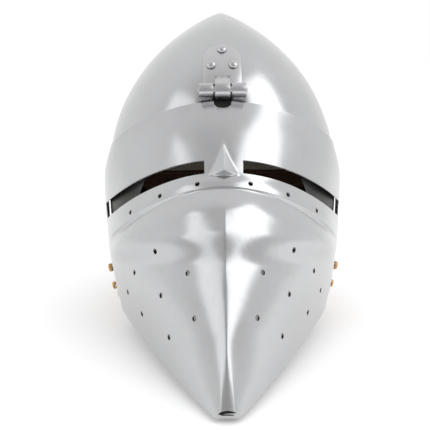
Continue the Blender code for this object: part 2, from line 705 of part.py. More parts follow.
def vervelle_mesh():
    """Brass stud with a cross bore for the cord, axis along Z, bore along X."""
    bm = bmesh.new()
    sides = 16
    profile = ((0.90, 0.0), (1.0, 0.12), (1.0, 0.80), (0.80, 1.0))
    loops = [[bm.verts.new((VERVELLE_RADIUS * r * math.cos(a), VERVELLE_RADIUS * r * math.sin(a),
                            VERVELLE_HEIGHT * h))
              for a in (2 * math.pi * i / sides for i in range(sides))] for r, h in profile]
    bm.faces.new(loops[0])
    bm.faces.new(loops[-1])
    for low, high in zip(loops, loops[1:]):
        for i in range(sides):
            j = (i + 1) % sides
            bm.faces.new((low[i], low[j], high[j], high[i]))
    stud = bpy.data.objects.new("stud", mesh_from(bm, "stud"))
    bpy.context.scene.collection.objects.link(stud)
    bore = make_cutter("cord_bore", tube_mesh("cord_bore", VERVELLE_BORE, 0, -0.01, 0.01, 10))
    bore.location = (0, 0, VERVELLE_HEIGHT * 0.62)
    cut(stud, bore)
    bpy.context.view_layer.update()
    graph = bpy.context.evaluated_depsgraph_get()
    finished = bpy.data.meshes.new_from_object(stud.evaluated_get(graph))
    bpy.data.objects.remove(stud, do_unlink=True)
    bpy.data.objects.remove(bore, do_unlink=True)
    return finished


def build_vervelles(brass):
    mesh = vervelle_mesh()
    for side, word in ((-1, "left"), (1, "right")):
        for number, degrees in enumerate(VERVELLE_ANGLES, 1):
            angle = side * math.radians(degrees)
            z = band_height(angle) - VERVELLE_DROP
            add_vervelle(f"vervelle_{word}_{number}", mesh, brass, z, angle, False)
        degrees, z = UPPER_VERVELLE
        add_vervelle(f"vervelle_{word}_cheek", mesh, brass, z, side * math.radians(degrees), True)


def add_vervelle(name, mesh, brass, z, angle, upright):
    seat = skull_offset(z, angle, CONTACT_GAP * 3 + BAND_SHEET)
    normal = skull_normal(z, angle)
    along = skull_point(z, angle + 0.01) - skull_point(z, angle - 0.01)
    bore = (0, 0, 1) if upright else turned(along)
    add_object(name, mesh, brass, aligned(to_world(seat), turned(normal), bore))


# ---- liner --------------------------------------------------------------------------------

def liner_height(angle):
    """Lower edge of the liner: over the brow in front, down at the nape behind."""
    return 0.084 + 0.086 * ((1 + math.cos(angle)) / 2)**1.5


def build_liner(leather, linen, steel):
    columns = [2 * math.pi * j / SKULL_COLUMNS for j in range(SKULL_COLUMNS)]
    gap = SKULL_SHEET + LINER_CLEARANCE
    outer, inner = [], []
    for share in (0.0, 0.5, 1.0):
        places = [(liner_height(a) + share * LINER_BAND_WIDTH, a) for a in columns]
        outer.append([skull_offset(z, a, -gap) for z, a in places])
        inner.append([skull_offset(z, a, -gap - LINER_BAND_SHEET) for z, a in places])
    add_object("liner_band", sheet_mesh("liner_band", outer, inner, True), leather)

    gap += CROWN_CLEARANCE
    outer, inner = [], []
    for share in spaced(0, 1, 9):
        places = []
        for a in columns:
            start = liner_height(a) + LINER_BAND_WIDTH + 0.001
            places.append((start + (LINER_TOP - start) * math.sin(share * math.pi / 2), a))
        outer.append([skull_offset(z, a, -gap) for z, a in places])
        inner.append([skull_offset(z, a, -gap - LINER_PAD) for z, a in places])
    add_object("liner_crown", sheet_mesh("liner_crown", outer, inner, True), linen)

    head = dome_mesh("liner_rivet", LINER_RIVET_RADIUS, LINER_RIVET_HEIGHT, 12)
    for side, word in ((-1, "left"), (1, "right")):
        for number, degrees in enumerate(LINER_RIVET_ANGLES, 1):
            angle = side * math.radians(degrees)
            z = liner_height(angle) + 0.35 * LINER_BAND_WIDTH
            seat = skull_offset(z, angle, CONTACT_GAP)
            add_object(f"liner_rivet_{word}_{number}", head, steel,
                       aligned(to_world(seat), turned(skull_normal(z, angle))))


# ---- chin straps and buckle ---------------------------------------------------------------

def strap_path(side, end_x):
    """Centre line of a strap in (x, z): down the cheek, round a bend and in along the floor."""
    wall = skull_offset(STRAP_TOP, side * math.radians(64), -SKULL_SHEET)[0]
    x = abs(wall) - 0.0085
    low = STRAP_FLOOR + STRAP_SHEET / 2
    path = [(x, STRAP_TOP), (x, 0.030)]
    for i in range(7):
        a = math.pi / 2 * i / 6
        path.append((x - BEND_RADIUS * (1 - math.cos(a)), low + BEND_RADIUS * (1 - math.sin(a))))
    path.append((abs(end_x), low))
    return [(side * px, pz) for px, pz in path]


def ribbon_mesh(name, path, half_width, sheet, middle):
    """Flat strap of constant width that follows a path in the XZ plane."""
    bm = bmesh.new()
    sections = []
    for i, (x, z) in enumerate(path):
        before, after = path[max(i - 1, 0)], path[min(i + 1, len(path) - 1)]
        run = Vector((after[0] - before[0], after[1] - before[1])).normalized()
        nx, nz = -run.y * sheet / 2, run.x * sheet / 2
        ring = [(x + nx, middle - half_width, z + nz), (x + nx, middle + half_width, z + nz),
                (x - nx, middle + half_width, z - nz), (x - nx, middle - half_width, z - nz)]
        sections.append([bm.verts.new(to_world(p)) for p in ring])
    bm.faces.new(sections[0])
    bm.faces.new(sections[-1])
    for a, b in zip(sections, sections[1:]):
        for i in range(4):
            j = (i + 1) % 4
            bm.faces.new((a[i], a[j], b[j], b[i]))
    return mesh_from(bm, name)


def wire_mesh(name, points, radius, closed, sides=8):
    """Round wire along a path of points given as (x, forward, z)."""
    bm = bmesh.new()
    count = len(points)
    rings = []
    for i, point in enumerate(points):
        before = points[(i - 1) % count if closed else max(i - 1, 0)]
        after = points[(i + 1) % count if closed else min(i + 1, count - 1)]
        run = (Vector(after) - Vector(before)).normalized()
        frame = aligned((0, 0, 0), run)
        rings.append([bm.verts.new(Vector(point) + frame @ Vector((radius * math.cos(a),
                                                                    radius * math.sin(a), 0)))
                      for a in (2 * math.pi * k / sides for k in range(sides))])
    if not closed:
        bm.faces.new(rings[0])
        bm.faces.new(rings[-1])
    for i in range(count if closed else count - 1):
        low, high = rings[i], rings[(i + 1) % count]
        for k in range(sides):
            m = (k + 1) % sides
            bm.faces.new((low[k], low[m], high[m], high[k]))
    for vert in bm.verts:
        vert.co = turned(vert.co)
    return mesh_from(bm, name)


def build_straps(leather, brass, steel):
    half = STRAP_WIDTH / 2
    bar_z = STRAP_FLOOR + STRAP_SHEET / 2 + 0.0004
    left = strap_path(-1, BUCKLE_X - BUCKLE_WIRE - 0.0004)
    add_object("chin_strap_left", ribbon_mesh("strap_l", left, half, STRAP_SHEET, STRAP_FORWARD),
               leather)
    right = strap_path(1, -0.001)
    add_object("chin_strap_right", ribbon_mesh("strap_r", right, half, STRAP_SHEET, STRAP_FORWARD),
               leather)
    for side, word in ((-1, "left"), (1, "right")):
        x = side * (abs(left[0][0]) - STRAP_SHEET / 2 - CONTACT_GAP)
        place = aligned(to_world((x, STRAP_FORWARD, STRAP_TOP - 0.006)), (-side, 0, 0))
        add_object(f"strap_rivet_{word}", dome_mesh("strap_rivet", STRAP_RIVET_RADIUS, STRAP_RIVET_HEIGHT, 12), steel, place)

    place = Matrix.Translation(to_world((BUCKLE_X, STRAP_FORWARD, bar_z)))
    corner = BUCKLE_CORNER
    length, reach = BUCKLE_LENGTH, half + BUCKLE_MARGIN
    points = []
    for cx, cf, start in ((length - corner, reach - corner, 0), (corner, reach - corner, 1),
                          (corner, corner - reach, 2), (length - corner, corner - reach, 3)):
        for i in range(4):
            a = math.pi / 2 * (start + i / 3)
            points.append((cx + corner * math.cos(a), cf + corner * math.sin(a), 0))
    add_object("buckle_frame", wire_mesh("buckle_frame", points, BUCKLE_WIRE, True), brass, place)

    radius = BUCKLE_WIRE + TONGUE_WIRE + 0.0002 + CONTACT_GAP
    tongue = [(radius * math.cos(a), 0, radius * math.sin(a))
              for a in (math.radians(d) for d in (-50, -5, 40))]
    tongue += [(0.0042, 0, 0.0026), (0.010, 0, 0.0027), (0.0152, 0, 0.0026)]
    add_object("buckle_tongue", wire_mesh("buckle_tongue", tongue, TONGUE_WIRE, False), brass, place)


# ---- assembly -----------------------------------------------------------------------------
def clear_scene():
    for item in list(bpy.data.objects):
        bpy.data.objects.remove(item, do_unlink=True)


def main():
    clear_scene()
    steel = make_material("polished_steel", (0.62, 0.62, 0.63), 1.0, 0.24)
    fixings = make_material("steel_fixings", (0.55, 0.55, 0.56), 1.0, 0.32)
    brass = make_material("brass", (0.72, 0.48, 0.24), 1.0, 0.30)
    leather = make_material("brown_leather", (0.13, 0.065, 0.035), 0.0, 0.60)
    linen = make_material("quilted_linen", (0.55, 0.50, 0.41), 0.0, 0.90)
    build_skull(steel)
    notch = build_visor(steel)
    build_hinge(fixings, notch)
    build_band(leather)
    build_vervelles(brass)
    build_liner(leather, linen, fixings)
    build_straps(leather, brass, fixings)


main()
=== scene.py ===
"""Looks of the steel bascinet: fine steelwork, brass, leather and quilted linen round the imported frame.

Metres, +Z up, the face looks along -Y. Surface formulas give points as (x, forward, z), with forward
measured from the ears; world turns forward into -Y and moves the points to the frame's origin.
"""
import json
import math

import bmesh
import bpy
import numpy as np
from mathutils import Matrix, Vector

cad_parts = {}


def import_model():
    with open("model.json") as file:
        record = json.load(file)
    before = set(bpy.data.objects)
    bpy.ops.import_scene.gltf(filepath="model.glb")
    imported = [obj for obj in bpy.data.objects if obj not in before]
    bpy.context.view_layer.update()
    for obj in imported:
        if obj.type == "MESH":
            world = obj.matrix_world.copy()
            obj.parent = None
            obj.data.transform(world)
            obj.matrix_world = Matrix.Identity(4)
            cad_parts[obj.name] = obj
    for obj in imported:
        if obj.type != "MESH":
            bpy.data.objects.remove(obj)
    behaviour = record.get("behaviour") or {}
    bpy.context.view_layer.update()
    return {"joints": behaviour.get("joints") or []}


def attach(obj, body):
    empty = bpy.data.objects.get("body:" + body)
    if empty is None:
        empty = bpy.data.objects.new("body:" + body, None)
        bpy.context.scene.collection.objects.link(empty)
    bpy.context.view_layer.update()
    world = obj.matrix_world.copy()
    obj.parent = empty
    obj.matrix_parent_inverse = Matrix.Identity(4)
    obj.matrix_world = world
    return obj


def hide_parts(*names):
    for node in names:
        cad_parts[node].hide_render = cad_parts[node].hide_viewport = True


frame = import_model()
LIFT_JOINT = next(joint for joint in frame["joints"] if joint["name"] == "visor_lift")
SKULL = "skull_body"
VISOR = "visor_body"

# ---- driving dimensions ----
# The same as the solids', apart from FLANGE_PROUD, KEEL_HEIGHT and CHEEK_BULGE, which stand
# up to 1.2 mm prouder here.
SKULL_HEIGHT = 0.262
EAR_HEIGHT = 0.115
SKULL_HALF_WIDTH = 0.101
RIM_HALF_WIDTH = 0.086
APEX_FORWARD = -0.045
FRONT_REACH = 0.163
BACK_REACH = 0.076
SKULL_SHEET = 0.0018
VISOR_SHEET = 0.0016
GAP = 0.0003
ARCH_RADIUS = (SKULL_HALF_WIDTH**2 + (SKULL_HEIGHT - EAR_HEIGHT)**2) / (2 * SKULL_HALF_WIDTH)

PIN_FORWARD = 0.1115
PIN_HEIGHT = 0.1965
ORIGIN_FORWARD = LIFT_JOINT["pos_m"][1] + PIN_FORWARD
PIN_RADIUS = 0.0019
KNUCKLE_RADIUS = 0.0050
KNUCKLE_HALF_SPAN = 0.0175
MIDDLE_EYE_HALF = 0.0056
MIDDLE_EYE_RADIUS = 0.0062
OUTER_EYE_START = 0.0069
LEAF_HALF_WIDTH = 0.0145
LEAF_LENGTH = 0.040
LEAF_SHEET = 0.0015
HINGE_RIVET_RADIUS = 0.0038

FACE_HALF_WIDTH = 0.074
BROW_HEIGHT = 0.160

SLIT_TOP, SLIT_BOTTOM = 0.26, 0.34
SLIT_INNER, SLIT_OUTER = 0.085, 0.86
FLANGE_END = 0.455
FLANGE_PROUD = 0.0026
KEEL_HEIGHT = 0.0055
KEEL_HALF_WIDTH = 0.0105
KEEL_TOP, KEEL_FOOT = 0.175, 0.348
CHEEK_BULGE = 0.0042
BREATH_HOLE_RADIUS = 0.0020
FLANGE_HOLE_RADIUS = 0.0018
# Places of the holes, along the visor first, then across it.
BREATH_HOLES = ((0.610, 0.37), (0.685, 0.23), (0.655, 0.55), (0.745, 0.40),
                (0.750, 0.66), (0.840, 0.57), (0.800, 0.23), (0.875, 0.40))
FLANGE_HOLES = ((0.420, 0.12), (0.420, 0.30), (0.420, 0.48))
NOTCH_HALF_WIDTH = 0.0064
NOTCH_FOOT = 0.1838
SNOUT_FLAT = 0.0036
SNOUT_FLAT_START = 0.84
SNOUT_CUT = (0.2445, 0.0030)
SNOUT_CUT_LEAN = math.radians(15)
LIP_HEIGHT = 0.0026
UPPER_DROOP = 1.7
VISOR_SECTIONS = np.array((
    (0.00, 0.1125, 0.1885, 0.0930, 0.048, 0.150, 2.00, 2.00),
    (0.12, 0.1290, 0.1705, 0.1020, 0.024, 0.125, 1.95, 2.00),
    (0.26, 0.1450, 0.1495, 0.1034, 0.018, 0.096, 1.90, 2.00),
    (0.34, 0.1510, 0.1410, 0.1018, 0.026, 0.083, 1.85, 2.00),
    (0.46, 0.1590, 0.1310, 0.0990, 0.040, 0.066, 1.80, 1.95),
    (0.70, 0.2000, 0.0800, 0.0915, 0.068, 0.041, 1.50, 1.58),
    (1.00, 0.2500, 0.0030, 0.0828, 0.094, 0.020, 1.05, 1.12),
))

BAND_SHEET = 0.0024
BAND_END = math.radians(47)
THREAD_RADIUS = 0.00035
SEAM_MARGIN = 0.0026          # from the leather band's edges to its stitches
TAB_ANGLES = (57, 70)
TAB_FOOT = 0.0022
VERVELLE_DROP = 0.004
VERVELLE_RADIUS = 0.0035
VERVELLE_HEIGHT = 0.0065
VERVELLE_BORE = 0.0013
VERVELLE_ANGLES = (56, 78, 101, 123, 146, 168)
UPPER_VERVELLE = (67, 0.046)
LINER_RIVET_ANGLES = (20, 100, 130, 160)
LINER_RIVET_RADIUS = 0.0036
CROWN_CLEARANCE = 0.0012
CROWN_LOBES = 12
LINER_BAND_WIDTH = 0.020
LINER_BAND_SHEET = 0.0022
LINER_PAD = 0.0090
LINER_CLEARANCE = 0.0009
LINER_TOP = 0.236
STRAP_WIDTH = 0.016
STRAP_SHEET = 0.0024
STRAP_FORWARD = 0.045
STRAP_TOP = 0.040
STRAP_FLOOR = 0.0014
BEND_RADIUS = 0.010
PUNCH_STEP = 0.008
STRAP_POINT = 0.010           # length of the rounded end of the right strap
BUCKLE_X = -0.030
BUCKLE_WIRE = 0.0013
BUCKLE_LENGTH = 0.016
BUCKLE_MARGIN = 0.0035
BUCKLE_CORNER = 0.003
TONGUE_WIRE = 0.0008
STRAP_RIVET_RADIUS = 0.0034
HINGE_RIVET_HEIGHT = 0.0026
HINGE_RIVET_SPREAD = 0.0083
RIVET_HEIGHT = 0.0021
SIDES = ((-1, "left"), (1, "right"))

STEEL_COLOUR = (0.53, 0.533, 0.540)
STEEL_ROUGHNESS = 0.21
STEEL_SCRATCH = 0.26
FRONT_GREY = 0.50             # strength of the studio's wall in front of the face, 1 behind it
FLOOR_HALF = 40.0
FLOOR_GLOW = 0.24
LAMPS = (((0.84, -0.48, 0.94), 0.95, 4.0), ((-0.95, -0.65, 0.80), 0.8, 1.5))   # place, size, power
CAMERA_AIM = (-0.0065, 0.0, 0.0785)
CAMERA_ELEVATION = math.radians(12)
CAMERA_ROLL = math.radians(-0.55)
CAMERA_DISTANCE = 0.650
CAMERA_LENS = 58.5


# ---- surfaces: arrays in, arrays of points out ----
def smoothstep(low, high, value):
    share = np.clip((value - low) / (high - low), 0.0, 1.0)
    return share * share * (3 - 2 * share)


def signed_power(value, power):
    return np.sign(value) * np.abs(value)**power


def skull_half_width(z):
    rise = np.maximum(z - EAR_HEIGHT, 0.0)
    share = rise / (SKULL_HEIGHT - EAR_HEIGHT)
    arch = np.sqrt(np.maximum(ARCH_RADIUS**2 - rise**2, 0)) - (ARCH_RADIUS - SKULL_HALF_WIDTH)
    fall = np.maximum(EAR_HEIGHT - z, 0.0) / EAR_HEIGHT
    upper = np.maximum(arch, 0.0) * (1 - 0.12 * share**6)
    return np.where(z > EAR_HEIGHT, upper, SKULL_HALF_WIDTH - (SKULL_HALF_WIDTH - RIM_HALF_WIDTH) * fall**2)


def off_ears(z):
    """How far z is up from the ears to the top, and down from the ears to the rim, as shares."""
    rise = np.clip((z - EAR_HEIGHT) / (SKULL_HEIGHT - EAR_HEIGHT), 0, 1)
    return rise, np.clip((EAR_HEIGHT - z) / EAR_HEIGHT, 0, 1)


def skull_front(z):
    share, fall = off_ears(z)
    return APEX_FORWARD + FRONT_REACH * np.sqrt(1 - share**3) - 0.008 * fall**1.5


def skull_back(z):
    share, fall = off_ears(z)
    return APEX_FORWARD - BACK_REACH * (1 - share**2)**0.8 + 0.012 * fall**2


def section_fullness(z):
    return 2.5 - 0.35 * np.clip((z - 0.05) / 0.12, 0, 1)


def paired(first, second):
    return np.broadcast_arrays(np.asarray(first, float), np.asarray(second, float))


def outward_normal(first, second, from_middle):
    """Unit normal to two directions, on the side that faces away from the middle."""
    normal = np.cross(first, second)
    normal /= np.maximum(np.linalg.norm(normal, axis=-1, keepdims=True), 1e-12)
    side = (from_middle * normal).sum(-1, keepdims=True)
    return normal * np.where(side < 0, -1, 1)


def skull_point(z, angle):
    z, angle = paired(z, angle)
    front, back, power = skull_front(z), skull_back(z), 2 / section_fullness(z)
    x = skull_half_width(z) * signed_power(np.sin(angle), power)
    forward = (front + back) / 2 + (front - back) / 2 * signed_power(np.cos(angle), power)
    return np.stack((x, forward, z), -1)


def skull_normal(z, angle):
    z, angle = paired(z, angle)
    step = 0.0005
    along = skull_point(z, angle + 0.004) - skull_point(z, angle - 0.004)
    up = skull_point(np.minimum(z + step, SKULL_HEIGHT), angle) - skull_point(z - step, angle)
    middle = np.stack((0 * z, (skull_front(z) + skull_back(z)) / 2, 0 * z + EAR_HEIGHT), -1)
    return outward_normal(along, up, skull_point(z, angle) - middle)


def skull_offset(z, angle, distance):
    return skull_point(z, angle) + np.asarray(distance)[..., None] * skull_normal(z, angle)


def angle_at(z, x):
    """Angle on the skull's section at height z where the surface is x off the centre line."""
    share = np.minimum(np.abs(x) / skull_half_width(z), 1.0)
    return np.sign(x) * np.arcsin(share**(section_fullness(z) / 2))


def blend_sections(t):
    places = VISOR_SECTIONS[:, 0]
    slopes = np.gradient(VISOR_SECTIONS, places, axis=0)
    i = np.clip(np.searchsorted(places, t, side="right") - 1, 0, len(places) - 2)
    span = (places[i + 1] - places[i])[..., None]
    s = ((t - places[i]) / (places[i + 1] - places[i]))[..., None]
    low, high = VISOR_SECTIONS[i], VISOR_SECTIONS[i + 1]
    curve = (2 * s**3 - 3 * s**2 + 1) * low + (3 * s**2 - 2 * s**3) * high
    curve = curve + (s**3 - 2 * s**2 + s) * span * slopes[i] + (s**3 - s**2) * span * slopes[i + 1]
    return np.moveaxis(curve, -1, 0)


def visor_base(t, s):
    t, s = paired(t, s)
    _, centre, top, width, side, low, front_full, side_full = blend_sections(t)
    angle = np.abs(s) * math.pi / 2
    reach = np.maximum(np.cos(angle), 0)**(2 / front_full)
    droop = 1 + (UPPER_DROOP - 1) * (1 - smoothstep(0.5, 1.0, t))
    flat = SNOUT_FLAT * smoothstep(SNOUT_FLAT_START, 1.0, t)
    x = flat * np.minimum(np.abs(s) / 0.05, 1) + (width - flat) * np.sin(angle)**(2 / side_full)
    return np.stack((np.sign(s) * x, side + (centre - side) * reach, low + (top - low) * reach**droop), -1)


def visor_normal(t, s):
    t, s = paired(t, s)
    step = 0.004
    down = visor_base(np.minimum(t + step, 1), s) - visor_base(np.maximum(t - step, 0), s)
    across = visor_base(t, np.minimum(s + step, 1)) - visor_base(t, np.maximum(s - step, -1))
    return outward_normal(down, across, visor_base(t, s) - np.array((0, 0, 0.08)))


def visor_relief(t, s):
    """Flange under the sights, nose keel, cheek bulge and the soft ridge down the middle."""
    across = np.abs(s)
    x = np.abs(visor_base(t, s)[..., 0])
    lift = (0.35 + 0.65 * smoothstep(0.05, 0.55, across)) * (1 - smoothstep(0.55, 0.85, across))
    flange = FLANGE_PROUD * lift * smoothstep(SLIT_BOTTOM - 0.02, SLIT_BOTTOM + 0.09, t)
    flange = flange * (1 - smoothstep(FLANGE_END - 0.006, FLANGE_END + 0.010, t))
    grow = np.clip((t - KEEL_TOP) / (KEEL_FOOT - KEEL_TOP), 0.0, 1.0)
    keel = KEEL_HEIGHT * grow * np.clip(1 - x / (KEEL_HALF_WIDTH * np.maximum(grow, 0.02)), 0, 1)
    keel = keel * (1 - smoothstep(KEEL_FOOT, KEEL_FOOT + 0.018, t))
    edge = 0.625 - 0.16 * across**2
    bulge = CHEEK_BULGE * smoothstep(FLANGE_END - 0.01, FLANGE_END + 0.09, t)
    bulge = bulge * (1 - smoothstep(edge - 0.030, edge + 0.050, t)) * (1 - smoothstep(0.60, 0.95, across))
    ridge = 0.0011 * np.exp(-x / 0.0045) * smoothstep(0.47, 0.58, t) * (1 - 0.7 * smoothstep(0.62, 0.75, t))
    return flange + keel + bulge + ridge


def hammered(points, height):
    """Faint unevenness that hand raising and planishing leave, as a height at each point."""
    x, forward, z = points[..., 0], points[..., 1], points[..., 2]
    waves = ((83, 61, 47, 0.3), (-57, 88, 71, 1.7), (117, -39, 96, 2.9), (49, 129, -104, 4.1))
    total = sum(np.sin(a * x + b * forward + c * z + phase) for a, b, c, phase in waves)
    return height * total / len(waves)


def visor_point(t, s, depth=0.0):
    base = visor_base(t, s)
    rise = visor_relief(t, s) + hammered(base, 0.00022) - depth
    return base + rise[..., None] * visor_normal(t, s)


# ---- mesh helpers ----
def turned(directions):
    return np.asarray(directions) * np.array((1, -1, 1))


def world(points):
    return turned(points) + np.array((0, ORIGIN_FORWARD, 0))


def linked(name, data):
    item = bpy.data.objects.new(name, data)
    bpy.context.scene.collection.objects.link(item)
    return item


def new_object(name, mesh, materials, sharp=40):
    for material in materials:
        mesh.materials.append(material)
    mesh.shade_smooth()
    if sharp:
        mesh.set_sharp_from_angle(angle=math.radians(sharp))
    return linked(name, mesh)


def add_piece(node, mesh, materials, body=SKULL, sharp=40):
    """Visual piece that stands for the node of the same name."""
    return finish_piece(new_object(node + "_fine", mesh, materials, sharp), body, [node])


def take_mesh(item):
    """The mesh of a working object, which is removed."""
    mesh = item.data
    bpy.data.objects.remove(item, do_unlink=True)
    return mesh


def mesh_from(bm, name):
    mesh = bpy.data.meshes.new(name)
    bm.to_mesh(mesh)
    bm.free()
    return mesh


def face_outwards(mesh):
    bm = bmesh.new()
    bm.from_mesh(mesh)
    bmesh.ops.delete(bm, geom=[v for v in bm.verts if not v.link_faces], context="VERTS")
    bmesh.ops.recalc_face_normals(bm, faces=bm.faces)
    bm.to_mesh(mesh)
    bm.free()
    return mesh


def closed_mesh(bm, name):
    bmesh.ops.recalc_face_normals(bm, faces=bm.faces)
    return mesh_from(bm, name)


def finish_piece(item, body, nodes):
    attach(item, body)
    if nodes:
        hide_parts(*nodes)
    return item


def grid_sheet(name, outer, inner, round_edge=0.0, closed=False, missing=None):
    """Closed sheet between two grids of points, with its edges rounded outwards.

    The outer side and the edges get material 0, the inner side gets material 1.
    """
    rows, columns = outer.shape[:2]
    count = rows * columns
    spans = columns if closed else columns - 1
    present = np.ones((rows - 1, spans), bool) if missing is None else ~missing
    top, base = world(outer).reshape(-1, 3), world(inner).reshape(-1, 3)
    faces, slots, walls = [], [], []
    for i, j in np.argwhere(present).tolist():
        k = (j + 1) % columns
        cell = (i * columns + j, i * columns + k, (i + 1) * columns + k, (i + 1) * columns + j)
        a, b, c, d = cell
        faces += [cell, (count + a, count + d, count + c, count + b)]
        slots += [0, 1]
        for ni, nj, p, q in ((i - 1, j, a, b), (i + 1, j, c, d), (i, j - 1, d, a), (i, j + 1, b, c)):
            nj = nj % spans if closed else nj
            if not (0 <= ni < rows - 1 and 0 <= nj < spans and present[ni, nj]):
                walls.append((p, q, cell))
    push = {}
    for p, q, cell in walls:
        along = top[q] - top[p]
        away = (top[p] + top[q]) / 2 - top[list(cell)].mean(axis=0)
        away = away - along * (away @ along) / max(along @ along, 1e-18)
        away = away / max(np.linalg.norm(away), 1e-12)
        for v in (p, q):
            push[v] = push.get(v, 0) + away
    middle = {v: 2 * count + n for n, v in enumerate(push)}
    edge = [(top[v] + base[v]) / 2 + round_edge * away / max(np.linalg.norm(away), 1e-12)
            for v, away in push.items()]
    for p, q, _ in walls:
        faces += [(q, p, middle[p], middle[q]), (middle[q], middle[p], count + p, count + q)]
        slots += [0, 0]
    mesh = bpy.data.meshes.new(name)
    points = [top, base, np.array(edge)] if edge else [top, base]
    mesh.from_pydata(np.concatenate(points), [], faces)
    mesh.polygons.foreach_set("material_index", slots)
    return face_outwards(mesh)


def turned_mesh(name, profile, sides):
    """Closed solid of revolution about Z from (radius, height) pairs going up."""
    bm = bmesh.new()
    loops = []
    for radius, height in profile:
        if radius < 1e-6:
            loops.append([bm.verts.new((0, 0, height))])
            continue
        angles = (2 * math.pi * i / sides for i in range(sides))
        loops.append([bm.verts.new((radius * math.cos(a), radius * math.sin(a), height)) for a in angles])
    for low, high in zip(loops, loops[1:]):
        for i in range(sides):
            j = (i + 1) % sides
            ring = [low[i % len(low)], low[j % len(low)], high[j % len(high)], high[i % len(high)]]
            bm.faces.new(list(dict.fromkeys(ring)))
    for end in (loops[0], loops[-1]):
        if len(end) > 1:
            bm.faces.new(end)
    return closed_mesh(bm, name)


def aligned(origin, direction, up=(0, 0, 1)):
    """Matrix whose Z axis is the direction and whose X axis is close to the given up."""
    z_axis = Vector(direction).normalized()
    x_axis = Vector(up) - z_axis * Vector(up).dot(z_axis)
    if x_axis.length < 1e-6:
        x_axis = Vector((1, 0, 0)) - z_axis * z_axis.x
    x_axis.normalize()
    matrix = Matrix((x_axis, z_axis.cross(x_axis), z_axis)).transposed().to_4x4()
    matrix.translation = Vector(origin)
    return matrix


def joined_rings(name, rings):
    """Closed solid between two rings of points."""
    bm = bmesh.new()
    near, far = ([bm.verts.new(p) for p in world(ring)] for ring in rings)
    bm.faces.new(near)
    bm.faces.new(far)
    for i in range(len(near)):
        j = (i + 1) % len(near)
        bm.faces.new((near[i], near[j], far[j], far[i]))
    return closed_mesh(bm, name)


def prism_mesh(name, outline, near, far, axis):
    """Straight prism, run along 'forward' over an (x, z) outline, or along 'x' over (forward, z)."""
    return joined_rings(name, [[(a, depth, b) if axis == "forward" else (depth, a, b) for a, b in outline]
                               for depth in (near, far)])


def boolean(item, meshes, operation="DIFFERENCE"):
    """Cut the meshes from the piece, or join them to it, and keep only the result."""
    helpers = [linked("helper", mesh) for mesh in meshes]
    for helper in helpers:
        modifier = item.modifiers.new("cut", "BOOLEAN")
        modifier.operation = operation
        modifier.object = helper
    apply_modifiers(item)
    for helper in helpers:
        bpy.data.objects.remove(helper, do_unlink=True)
    return item


def apply_modifiers(item):
    bpy.context.view_layer.update()
    graph = bpy.context.evaluated_depsgraph_get()
    finished = bpy.data.meshes.new_from_object(item.evaluated_get(graph))
    item.modifiers.clear()
    item.data = finished
    return item


def join_meshes(name, meshes):
    bm = bmesh.new()
    for mesh in meshes:
        bm.from_mesh(mesh)
    return mesh_from(bm, name)


def seat_on_skull(z, angle, distance, up=(0, 0, 1)):
    """Matrix of a place at a distance off the skull's surface, with Z out of it."""
    return aligned(world(skull_offset(z, angle, distance)), turned(skull_normal(z, angle)), up)


# ---- materials ----
class Nodes:
    """Small helper that adds nodes to a material and links them."""

    def __init__(self, name):
        self.material = bpy.data.materials.new(name)
        self.material.use_nodes = True
        self.tree = self.material.node_tree
        self.shader = self.tree.nodes["Principled BSDF"]
        self.coords = self.add("ShaderNodeTexCoord").outputs["Object"]

    def add(self, kind, **settings):
        node = self.tree.nodes.new(kind)
        for key, value in settings.items():
            setattr(node, key, value)
        return node

    def link(self, source, target):
        self.tree.links.new(source, target)

    def feed(self, node, **values):
        """Set or link the node's inputs, whose names are written with underscores for spaces."""
        for key, value in values.items():
            socket = node.inputs[key.replace("_", " ")]
            if hasattr(value, "is_linked"):
                self.link(value, socket)
            else:
                socket.default_value = value
        return node.outputs

    def stretched(self, scale, turn=(0, 0, 0)):
        mapping = self.add("ShaderNodeMapping")
        return self.feed(mapping, Scale=scale, Rotation=turn, Vector=self.coords)["Vector"]

    def noise(self, scale, detail=3.0, rough=0.5, vector=None, distortion=0.0):
        node = self.add("ShaderNodeTexNoise")
        vector = self.coords if vector is None else vector
        return self.feed(node, Scale=scale, Detail=detail, Roughness=rough, Distortion=distortion,
                         Vector=vector)["Fac"]

    def ramp(self, source, stops):
        node = self.add("ShaderNodeValToRGB")
        elements = node.color_ramp.elements
        while len(elements) < len(stops):
            elements.new(0.5)
        for element, (place, colour) in zip(elements, stops):
            element.position = place
            element.color = (*colour, 1) if len(colour) == 3 else colour
        self.link(source, node.inputs["Fac"])
        return node.outputs["Color"]

    def spread(self, source, low, high, from_low=0.0, from_high=1.0):
        node = self.add("ShaderNodeMapRange")
        return self.feed(node, From_Min=from_low, From_Max=from_high, To_Min=low, To_Max=high,
                         Value=source)["Result"]

    def maths(self, operation, first, second):
        node = self.add("ShaderNodeMath", operation=operation)
        for value, socket in ((first, node.inputs[0]), (second, node.inputs[1])):
            if isinstance(value, (int, float)):
                socket.default_value = value
            else:
                self.link(value, socket)
        return node.outputs["Value"]

    def mix(self, factor, first, second):
        node = self.add("ShaderNodeMix", data_type="RGBA")
        self.link(factor, node.inputs["Factor"])
        for value, socket in ((first, node.inputs["A"]), (second, node.inputs["B"])):
            if isinstance(value, tuple):
                socket.default_value = (*value, 1)
            else:
                self.link(value, socket)
        return node.outputs["Result"]

    def bump(self, height, distance, strength=1.0, below=None):
        node = self.add("ShaderNodeBump")
        if below is not None:
            self.link(below, node.inputs["Normal"])
        return self.feed(node, Distance=distance, Strength=strength, Height=height)["Normal"]

    def set(self, **values):
        self.feed(self.shader, **values)
        return self.material


